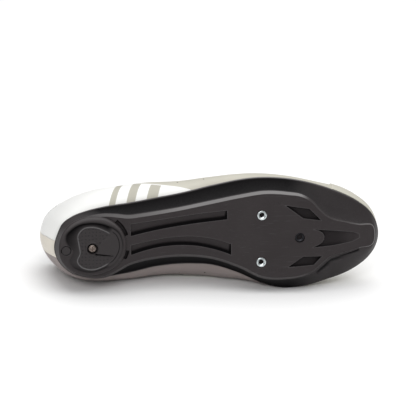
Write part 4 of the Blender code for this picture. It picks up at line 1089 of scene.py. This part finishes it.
def scattered(name, points, normals, along, size, material, slot):
    """A small rounded form at each point, turned along its seam and laid on the surface."""
    seeds = bpy.data.meshes.new(name + "_seeds")
    seeds.from_pydata(np.asarray(points).tolist(), [], [])
    turns = seeds.attributes.new("turn", "FLOAT_VECTOR", "POINT")
    for i, (normal, ahead) in enumerate(zip(normals, along)):
        z = Vector(normal).normalized()
        x = (Vector(ahead) - z * Vector(ahead).dot(z)).normalized()
        turns.data[i].vector = Matrix((x, z.cross(x), z)).transposed().to_euler()
    draft = bpy.data.objects.new(name + "_draft", seeds)
    bpy.context.scene.collection.objects.link(draft)
    tree = bpy.data.node_groups.new(name + "_nodes", "GeometryNodeTree")
    tree.interface.new_socket("Geometry", in_out="INPUT", socket_type="NodeSocketGeometry")
    tree.interface.new_socket("Size", in_out="INPUT", socket_type="NodeSocketVector").default_value = size
    tree.interface.new_socket("Geometry", in_out="OUTPUT", socket_type="NodeSocketGeometry")
    given, out = tree.nodes.new("NodeGroupInput"), tree.nodes.new("NodeGroupOutput")
    ball, spread, turned_by, real, finish = (
        tree.nodes.new("GeometryNode" + kind)
        for kind in (
            "MeshUVSphere", "InstanceOnPoints", "InputNamedAttribute", "RealizeInstances", "SetMaterial"
        )
    )
    turned_by.data_type = "FLOAT_VECTOR"
    turned_by.inputs["Name"].default_value = "turn"
    for key, value in (("Segments", 8), ("Rings", 6), ("Radius", 0.5)):
        ball.inputs[key].default_value = value
    finish.inputs["Material"].default_value = material
    for start, end in (
        (given.outputs["Geometry"], spread.inputs["Points"]),
        (ball.outputs["Mesh"], spread.inputs["Instance"]),
        (turned_by.outputs["Attribute"], spread.inputs["Rotation"]),
        (given.outputs["Size"], spread.inputs["Scale"]),
        (spread.outputs["Instances"], real.inputs["Geometry"]),
        (real.outputs["Geometry"], finish.inputs["Geometry"]),
        (finish.outputs["Geometry"], out.inputs["Geometry"]),
    ):
        tree.links.new(start, end)
    step = draft.modifiers.new("scatter", "NODES")
    step.node_group = tree
    made = bpy.data.meshes.new_from_object(draft.evaluated_get(bpy.context.evaluated_depsgraph_get()))
    points, faces = np.array([v.co for v in made.vertices]), [tuple(p.vertices) for p in made.polygons]
    bpy.data.objects.remove(draft)
    return piece(name, points, faces, material, slot)


def spaced(line, normals, step, closed=False):
    """Even places along a line on a surface, with the surface's normal and the line's direction there."""
    line, normals = (np.vstack([a, a[:1]]) if closed else np.asarray(a) for a in (line, normals))
    run = np.concatenate([[0], np.cumsum(np.linalg.norm(np.diff(line, axis=0), axis=1))])
    at = np.arange(step / 2, run[-1], step)
    sample = lambda values: np.stack([np.interp(at, run, values[:, i]) for i in range(3)], 1)
    return sample(line), sample(normals), sample(np.gradient(line, axis=0))


def below_rim(depths):
    """The line on the upper at given distances below the rim, with its normals."""
    points, tilts = [], []
    for j, depth in enumerate(np.broadcast_to(depths, ROUND)):
        down = down_from_rim[::-1, j]
        points.append([np.interp(depth, down, outer_skin[::-1, j, k]) for k in range(3)])
        tilts.append([np.interp(depth, down, normals[::-1, j, k]) for k in range(3)])
    return np.array(points), np.array(tilts)


# Twisted thread: pale and dull, its twist shows as fine slanting bands. A wave texture of Scale 1 repeats
# every 0.3142, so its scale is worked out from that.
TWIST_MM = 0.2417
thread, tree, shader = finish_of("thread", Roughness=0.7, Specular_IOR_Level=0.3)
place = add(tree, "Attribute", attribute_name="foot").outputs["Vector"]
bands = {"Vector": place, "Scale": 0.3142 / TWIST_MM, "Distortion": 1.0}
twist = add(tree, "TexWave", bands, bands_direction="DIAGONAL").outputs["Fac"]
tone = add(tree, "Mix", {"Factor": twist, "A": linear("#b9b6ab"), "B": linear("#e4e2da")}, data_type="RGBA")
tree.links.new(tone.outputs["Result"], shader.inputs["Base Color"])
rows_of_thread = []
line, tilts = below_rim(RIM_SEAM)
rows_of_thread.append(spaced(line, tilts, STITCH_STEP, closed=True))
line, tilts = below_rim(facing_width - 1.5)
on_facing = facing_width > RIM_SEAM + 2.8
sides = np.arange(ROUND)[on_facing]
rows_of_thread.append(spaced(line[sides], tilts[sides], STITCH_STEP))
parts = [np.concatenate(group) for group in zip(*rows_of_thread)]
scattered("upper_stitching", *parts, STITCH, thread, "upper_synthetic")

# Punched holes: small air holes punched through the upper before it is lasted. Their columns climb the side
# toward the facing on both sides of the shoe. A flat dark disc stands for each hole: the lining seen through
# it, darkened further as painted shade.
HOLE = (0.0013, 0.0013, 0.00012)
HOLE_COLUMNS = ((119.2, 36.8, 3), (140.1, 33.8, 4), (161.0, 36.0, 4), (182.0, 36.0, 4))
HOLE_STEP, HOLE_LEAN = 9.0, 3.0
hole_shade_disc, *_ = two_toned(
    "punched_hole", "TexNoise", 0.333, {}, "#22201f", "#3a3836", Roughness=0.9, Specular_IOR_Level=0.05,
)
spots, tilts = [], []
half = ROUND // 2
for along, lowest, count in HOLE_COLUMNS:
    for k in range(count):
        for columns in (slice(0, half), slice(half, ROUND)):
            grid = outer_skin[4:-6, columns] * 1000
            miss = np.hypot(grid[:, :, 0] - along + HOLE_LEAN * k, grid[:, :, 2] - lowest - HOLE_STEP * k)
            i, j = np.unravel_index(miss.argmin(), miss.shape)
            spots.append(grid[i, j] / 1000)
            tilts.append(normals[4:-6, columns][i, j])
scattered("punched_holes", spots, tilts, [(1, 0, 0)] * len(spots), HOLE, hole_shade_disc, "upper_synthetic")

# Tick marks: plain raised lines of the sole's own composite beside the two rear nuts, moulded with it. They
# show how far the cleat has been moved.
TICKS = ((0.650, 0.0026, 7, -0.338), (0.653, 0.0026, 8, 0.264))
TICK_SIZE = (0.0032, 0.0004, 0.00024)
spots = [
    (start * LENGTH + k * step, y * WIDTH, 0) for start, step, count, y in TICKS for k in range(count)
]
spots = np.array(spots)
spots[:, 2] = plate_height(spots[:, 0])
down, across = [(0, 0, -1)] * len(spots), [(0, 1, 0)] * len(spots)
scattered("scale_ticks", spots, down, across, TICK_SIZE, composite, "sole_composite")

# Lining: knitted textile over foam, which thickens toward the rim of the collar. It is cut as one sleeve and
# glued in, and it rolls over the rim into a flat binding tape that is stitched down outside.
LINING_ROWS, BINDING, TAPE_PROUD = 44, 0.0022, 0.00022
lining_angles = ANGLES[::2]
shares = np.linspace(0, 1, LINING_ROWS)
face = skin(lining_angles, shares)
face_normals = grid_normals(face, True)
swell = np.clip((shares[:, None] - 0.55) / 0.3, 0, 1)
thick = UPPER_WALL + PAD_WALL * around("pad", lining_angles)[None, :] * swell * swell * (3 - 2 * swell)
inside = face - face_normals * thick[:, :, None]
climb = face[-1] - face[-2]
climb /= np.linalg.norm(climb, axis=1)[:, None]
middle, arm = (face[-1] + inside[-1]) / 2, (face[-1] - inside[-1]) / 2
arm *= 1 + TAPE_PROUD / np.linalg.norm(arm, axis=1)[:, None]
over = climb * np.linalg.norm(arm, axis=1)[:, None] * 0.8
roll = [middle + arm * math.cos(a) + over * math.sin(a) for a in np.linspace(0, np.pi, 12)]
tape = [
    face[-1] - climb * down + face_normals[-1] * out
    for down, out in ((BINDING, -0.0003), (BINDING, 0.00018), (0.0007, TAPE_PROUD))
]
rows = np.array([*tape, *roll, *inside[::-1][1:]])
textile, *_ = two_toned(
    "lining_textile", "TexVoronoi", 1.111, {"Randomness": 0.2}, "#4a494a", "#747274",
    raised=(0.5, 0.0003), Roughness=0.9, Specular_IOR_Level=0.2,
)
lining_faces = grid_faces(len(rows), len(lining_angles), wrap=True)
lining = piece("collar_lining", rows.reshape(-1, 3), lining_faces, textile, "upper_synthetic")

# Toe cap: thin shell of harder synthetic over the toe, moulded to shape and glued on. It is a shade lighter
# and glossier than the upper, with a crisp rear edge.
cap_finish, *_ = two_toned(
    "cap_synthetic", "TexNoise", 0.714, {"Detail": 4.0}, "#c0bdb1", "#cbc8bc", raised=(0.15, 0.0002),
    Roughness=0.42, Specular_IOR_Level=0.45,
)
CAP_WALL = 0.0010
CAP_ROWS, CAP_CUT = 60, 0.0022
CAP_REAR = ((-0.60, 0.866), (-0.30, 0.858), (0.00, 0.845), (0.30, 0.842), (0.60, 0.848))


def cap_past(points):
    """How far each point lies past the cap's rear edge, toward the toe."""
    return points[:, 0] - np.interp(points[:, 1] / WIDTH, *np.array(CAP_REAR).T) * LENGTH


cap_angles = ANGLES[int(ROUND * 0.3):int(ROUND * 0.7)]
cap_base = skin(cap_angles, np.linspace(0.014, 0.9, CAP_ROWS))
cap_normals = grid_normals(cap_base, False)
keep = cap_past(cap_base.reshape(-1, 3)) > -CAP_CUT
faces = grid_faces(CAP_ROWS, len(cap_angles))
faces = faces[keep[faces].any(axis=1)]
# The shell is laid flush first, cut finer along its rear edge, and only then raised.
flush = cap_base + cap_normals * -0.0003
used, index = np.unique(faces, return_inverse=True)
cap_points, cap_faces = refined(
    flush.reshape(-1, 3)[used], index.reshape(faces.shape), lambda p: np.abs(cap_past(p)) < CAP_CUT, 3,
)
known = cap_normals.reshape(-1, 3)[used]
flat_places = flush.reshape(-1, 3)[used]
cap_tilts = np.array([known[np.argmin(((flat_places - p) ** 2).sum(axis=1))] for p in cap_points])
raised = np.clip(cap_past(cap_points) / 0.0007 + 0.5, 0, 1)
cap_points = cap_points + cap_tilts * ((CAP_WALL + FIT_GAP) * raised * raised * (3 - 2 * raised))[:, None]
piece("toe_cap_shell", cap_points, cap_faces, cap_finish, "cap_synthetic", "toe_cap")

# Tongue: padded tongue of grey air mesh over foam under the throat, sewn to the vamp at its front end. Its
# middle is quilted in soft channels across, and its edge is bound flat.
mesh_cloth, *_ = two_toned(
    "tongue_mesh", "TexVoronoi", 1.429, {"Randomness": 0.1}, "#a5a29a", "#c4c1b8", raised=(0.6, 0.0004),
    Roughness=0.85, Specular_IOR_Level=0.2,
)


def skin_at(x, inner):
    """The upper's outer line at one place along the shoe, from the bite line up to the rim."""
    line = []
    for row in plain_skin:
        side = row[half:][::-1] if inner else row[: half + 1]
        if side[:, 0].min() <= x <= side[:, 0].max():
            line.append([x, np.interp(x, side[:, 0], side[:, 1]), np.interp(x, side[:, 0], side[:, 2])])
    return np.array(line)


def bridge(places, outer_reach, inner_reach, arch_points):
    """A grid across the throat that leaves the upper's skin along its own slope on both sides."""
    lines = []
    for x in places:
        ends = []
        for inner, reach in ((False, outer_reach), (True, inner_reach)):
            back = skin_at(x, inner)[::-1]
            run = np.concatenate([[0], np.cumsum(np.linalg.norm(np.diff(back, axis=0), axis=1))])
            ends.append(
                np.stack([np.interp((0.0, 0.005, *reach), run, back[:, i]) for i in range(3)], axis=1)
            )
        near, far = ends
        span = np.linalg.norm(far[0] - near[0]) * 0.5
        leave, arrive = near[0] - near[1], far[1] - far[0]
        leave, arrive = leave / np.linalg.norm(leave) * span, arrive / np.linalg.norm(arrive) * span
        u = np.linspace(0, 1, arch_points)[1:-1, None]
        arch = (
            (2 * u**3 - 3 * u**2 + 1) * near[0] + (3 * u**2 - 2 * u**3) * far[0]
            + (u**3 - 2 * u**2 + u) * leave + (u**3 - u**2) * arrive
        )
        lines.append(np.concatenate([near[2:][::-1], arch, far[2:]]))
    return np.array(lines)


def bridge_normals(grid):
    """Unit normals of such a grid, away from the foot."""
    normal = np.cross(np.gradient(grid, axis=0), np.gradient(grid, axis=1))
    return normal / np.linalg.norm(normal, axis=2)[:, :, None]


def bordered(grid):
    """Distance of each grid point to the nearest end of its row and of its column."""
    out = []
    for axis in (0, 1):
        step = np.linalg.norm(np.diff(grid, axis=axis), axis=2)
        run = np.concatenate([np.zeros_like(step.take([0], axis)), np.cumsum(step, axis=axis)], axis=axis)
        out.append(np.minimum(run, run.take([-1], axis) - run))
    return out


def padded_sheet(name, grid, low, high, round_edge, extra, material, slot, node):
    """A closed sheet with round edges: its underside lies low over the grid, its top high."""
    tilts = bridge_normals(grid)
    for _ in range(4):
        for axis in (0, 1):
            padded = np.concatenate([tilts.take([0], axis), tilts, tilts.take([-1], axis)], axis=axis)
            count = tilts.shape[axis]
            before, after = padded.take(range(count), axis), padded.take(range(2, count + 2), axis)
            tilts = (before + 2 * tilts + after) / 4
    tilts /= np.linalg.norm(tilts, axis=2)[:, :, None]
    edge = np.minimum(*bordered(grid))
    full = np.sqrt(np.clip(1 - np.clip(1 - edge / round_edge, 0, 1) ** 2, 0, 1))
    thick = (high - low) * full + extra * full
    middle = (low + high) / 2
    top = grid + tilts * (middle + thick - (high - low) * full / 2)[:, :, None]
    under = grid + tilts * (middle - (high - low) * full / 2)[:, :, None]
    rows, across = grid.shape[:2]
    faces = grid_faces(rows, across)
    shell = np.concatenate([top.reshape(-1, 3), under.reshape(-1, 3)])
    made = piece(
        name, shell, np.concatenate([faces, faces[:, ::-1] + rows * across]), material, slot, node
    )
    return top, tilts, made


TONGUE_WALL, TONGUE_DROP, TONGUE_ROWS, TONGUE_ACROSS = 0.0032, 0.0054, 120, 56
TONGUE_FROM, TONGUE_TO = 0.395 * LENGTH, 0.690 * LENGTH
TONGUE_TOP = (
    (0.074, 0.175, 0.45, 0.25), (0.068, 0.158, 0.62, 0.35), (0.050, 0.112, 0.74, 0.45),
    (0.026, 0.058, 0.80, 0.55),
)
CHANNEL_STEP, CHANNEL_DEEP, TONGUE_EDGE = 0.0095, 0.0008, 0.0045
coarse = bridge(np.linspace(TONGUE_FROM, TONGUE_TO, 12), (0.004, 0.008), (0.004, 0.008), 7)
coarse = coarse - bridge_normals(coarse) * TONGUE_DROP
first = coarse[0]
middle = first[len(first) // 2]
tops = [
    middle + (first - middle) * (1, narrow, flat) + np.array((-back * LENGTH, 0, up * HEIGHT))
    for back, up, narrow, flat in TONGUE_TOP
]
coarse = np.concatenate([np.array(tops), coarse])


def finer(grid, count):
    """More rows along a grid's first direction, on even curves."""
    places = np.arange(len(grid))
    want = places[-1] * (1 - np.cos(np.pi * np.linspace(0, 1, count))) / 2
    flat = grid.reshape(len(grid), -1)
    return np.stack([ease(want, places, values) for values in flat.T], 1).reshape(count, *grid.shape[1:])


tongue_grid = finer(coarse, TONGUE_ROWS)
tongue_grid = finer(tongue_grid.transpose(1, 0, 2), TONGUE_ACROSS).transpose(1, 0, 2)
middle_line = tongue_grid[:, TONGUE_ACROSS // 2]
length_run = np.concatenate([[0], np.cumsum(np.linalg.norm(np.diff(middle_line, axis=0), axis=1))])
edge_away = np.minimum(*bordered(tongue_grid))
inside_edge = np.clip((edge_away - TONGUE_EDGE) / 0.002, 0, 1)
channel = np.abs(np.sin(np.pi * length_run / CHANNEL_STEP))[:, None]
bound_seam = 0.0003 * np.exp(-(((edge_away - TONGUE_EDGE) / 0.0007) ** 2))
puff = CHANNEL_DEEP * inside_edge * (channel**0.5) - bound_seam
_, _, tongue = padded_sheet(
    "tongue_pad", tongue_grid, -TONGUE_WALL, 0.0, 0.0016, puff, mesh_cloth, "tongue_fabric", "tongue",
)

# Insole: thin foam sheet faced with dark plain textile, die cut and laid loose on the footbed. The solid's
# triangles are joined and rounded by subdivision.
insole_cloth, *_ = two_toned(
    "insole_cloth", "TexVoronoi", 0.833, {"Randomness": 0.3}, "#3a3a3d", "#5a5a5e", Roughness=0.95,
    Specular_IOR_Level=0.15,
)
form = bmesh.new()
form.from_mesh(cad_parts["insole"].data)
bmesh.ops.transform(form, matrix=LIE.inverted(), verts=form.verts)
bmesh.ops.remove_doubles(form, verts=form.verts, dist=2e-6)
bmesh.ops.join_triangles(
    form, faces=form.faces, angle_face_threshold=math.pi, angle_shape_threshold=math.pi
)
mesh = bpy.data.meshes.new("insole_draft")
form.to_mesh(mesh)
form.free()
draft = bpy.data.objects.new("insole_draft", mesh)
bpy.context.scene.collection.objects.link(draft)
step = draft.modifiers.new("round", "SUBSURF")
step.levels = step.render_levels = 2
rounded = bpy.data.meshes.new_from_object(draft.evaluated_get(bpy.context.evaluated_depsgraph_get()))
points = np.array([v.co for v in rounded.vertices])
faces = [tuple(p.vertices) for p in rounded.polygons]
bpy.data.objects.remove(draft)
insole = piece("insole_sheet", points, faces, insole_cloth, "insole_fabric", "insole")

# Straps: two flat bands of coated webbing over the throat, which close the shoe. Each is folded round a soft
# core and stitched along its border, and both its ends lie on the upper.
strap_cloth, *_ = two_toned(
    "strap_cloth", "TexNoise", 0.556, {"Detail": 3.0}, "#d5d2c8", "#e8e6de", raised=(0.3, 0.0002),
    Roughness=0.7, Specular_IOR_Level=0.3,
)
STRAP_WALL, STRAP_LIFT, STRAP_SEAM = 0.0020, 0.0004, 0.0024
STRAPS = {"strap_rear": (0.420, 0.492), "strap_front": (0.535, 0.600)}
SHARES = np.array(
    (
        0.0, 0.012, 0.03, 0.055, 0.09, 0.13, 0.18, 0.24, 0.31, 0.40, 0.5, 0.60, 0.69, 0.76, 0.82, 0.87,
        0.91, 0.945, 0.97, 0.988, 1.0
    )
)
OUTER_REACH = 0.020 * np.array(
    (0.0, 0.1, 0.2, 0.3, 0.4, 0.5, 0.6, 0.7, 0.78, 0.85, 0.90, 0.94, 0.97, 0.985, 1.0)
)[1:]
INNER_REACH = 0.012 * np.array((0.0, 0.14, 0.28, 0.42, 0.56, 0.68, 0.78, 0.86, 0.92, 0.96, 0.98, 1.0))[1:]
threads = []
for name, (start, end) in STRAPS.items():
    band = bridge((start + (end - start) * SHARES) * LENGTH, OUTER_REACH, INNER_REACH, 40)
    from_side, from_end = bordered(band)
    near_border = np.minimum(from_side, from_end)
    swell = np.clip((near_border - STRAP_SEAM) / 0.002, 0, 1)
    swell = 0.0003 * (swell - np.exp(-(((near_border - STRAP_SEAM) / 0.0006) ** 2)))
    top, tilts, _ = padded_sheet(
        name + "_band", band, STRAP_LIFT, STRAP_LIFT + STRAP_WALL, 0.0010, swell, strap_cloth,
        "strap_fabric", name,
    )
    wide = (end - start) * LENGTH
    for share in (STRAP_SEAM / wide, 1 - STRAP_SEAM / wide):
        inner_columns = range(3, band.shape[1] - 3)
        row, lean = (
            np.array(
                [[np.interp(share, SHARES, values[:, j, k]) for k in range(3)] for j in inner_columns]
            )
            for values in (top, tilts)
        )
        threads.append(spaced(row, lean, STITCH_STEP))
    across = band.shape[1]
    nearest = np.abs(from_end - STRAP_SEAM)
    middle_rows = np.flatnonzero((SHARES > 0.15) & (SHARES < 0.85))
    for j in (
        nearest[:, : across // 2].argmin(axis=1),
        across - 1 - nearest[:, ::-1][:, : across // 2].argmin(axis=1),
    ):
        j = j[middle_rows]
        threads.append(spaced(top[middle_rows, j], tilts[middle_rows, j], STITCH_STEP))
parts = [np.concatenate(group) for group in zip(*threads)]
scattered("strap_stitching", *parts, STITCH, thread, "strap_fabric")

# Floor and light: a plain pale studio floor of matt paper, with soft light from above and from the camera's
# side. None of it is part of the shoe.
floor_finish, tree, shader = finish_of("studio_floor", Base_Color=(0.95, 0.95, 0.95, 1.0), Roughness=0.9)
bpy.ops.mesh.primitive_plane_add(size=12)
floor = bpy.context.object
floor.name = "studio_floor"
floor.data.materials.append(floor_finish)


def soft_light(name, spot, size, power):
    """A rectangular soft lamp that looks at the shoe."""
    lamp = bpy.data.lights.new(name, "AREA")
    lamp.shape, lamp.size, lamp.size_y, lamp.energy = "RECTANGLE", *size, power
    made = bpy.data.objects.new(name, lamp)
    made.location = spot
    made.rotation_euler = (Vector((0, 0, 0.04)) - Vector(spot)).to_track_quat("-Z", "Y").to_euler()
    bpy.context.scene.collection.objects.link(made)


soft_light("top_light", (0.15, 0.05, 1.6), (2.8, 2.0), 34)
soft_light("front_light", (-0.6, -1.7, 1.3), (1.2, 0.8), 13)
world = bpy.data.worlds.new("studio")
world.use_nodes = True
world.node_tree.nodes["Background"].inputs["Color"].default_value = (1.0, 1.0, 1.0, 1.0)
world.node_tree.nodes["Background"].inputs["Strength"].default_value = 0.31
bpy.context.scene.world = world
bpy.context.scene.view_settings.view_transform = "Standard"

# Camera: a very long lens low over the floor, which looks at the sole as the photo does
CAMERA_TURN, CAMERA_RISE, CAMERA_ROLL = math.radians(-8.01), math.radians(21.25), math.radians(2.24)
CAMERA_AWAY, CAMERA_LENS, CAMERA_AIM = 4.78, 500.0, Vector((0.0, 0.0, 0.045))
back = Vector((
    math.sin(CAMERA_TURN) * math.cos(CAMERA_RISE),
    -math.cos(CAMERA_TURN) * math.cos(CAMERA_RISE),
    math.sin(CAMERA_RISE),
))
level = Vector((0, 0, 1)).cross(back).normalized()
upright = back.cross(level)
right = level * math.cos(CAMERA_ROLL) + upright * math.sin(CAMERA_ROLL)
upright = upright * math.cos(CAMERA_ROLL) - level * math.sin(CAMERA_ROLL)
camera = bpy.data.objects.new("camera", bpy.data.cameras.new("camera"))
bpy.context.scene.collection.objects.link(camera)
camera.data.lens, camera.data.sensor_width, camera.data.clip_end = CAMERA_LENS, 36.0, 50.0
spot = CAMERA_AIM + right * -0.0003 + upright * 0.0111 + back * CAMERA_AWAY
camera.matrix_world = Matrix.Translation(spot) @ Matrix((right, upright, back)).transposed().to_4x4()
bpy.context.scene.camera = camera
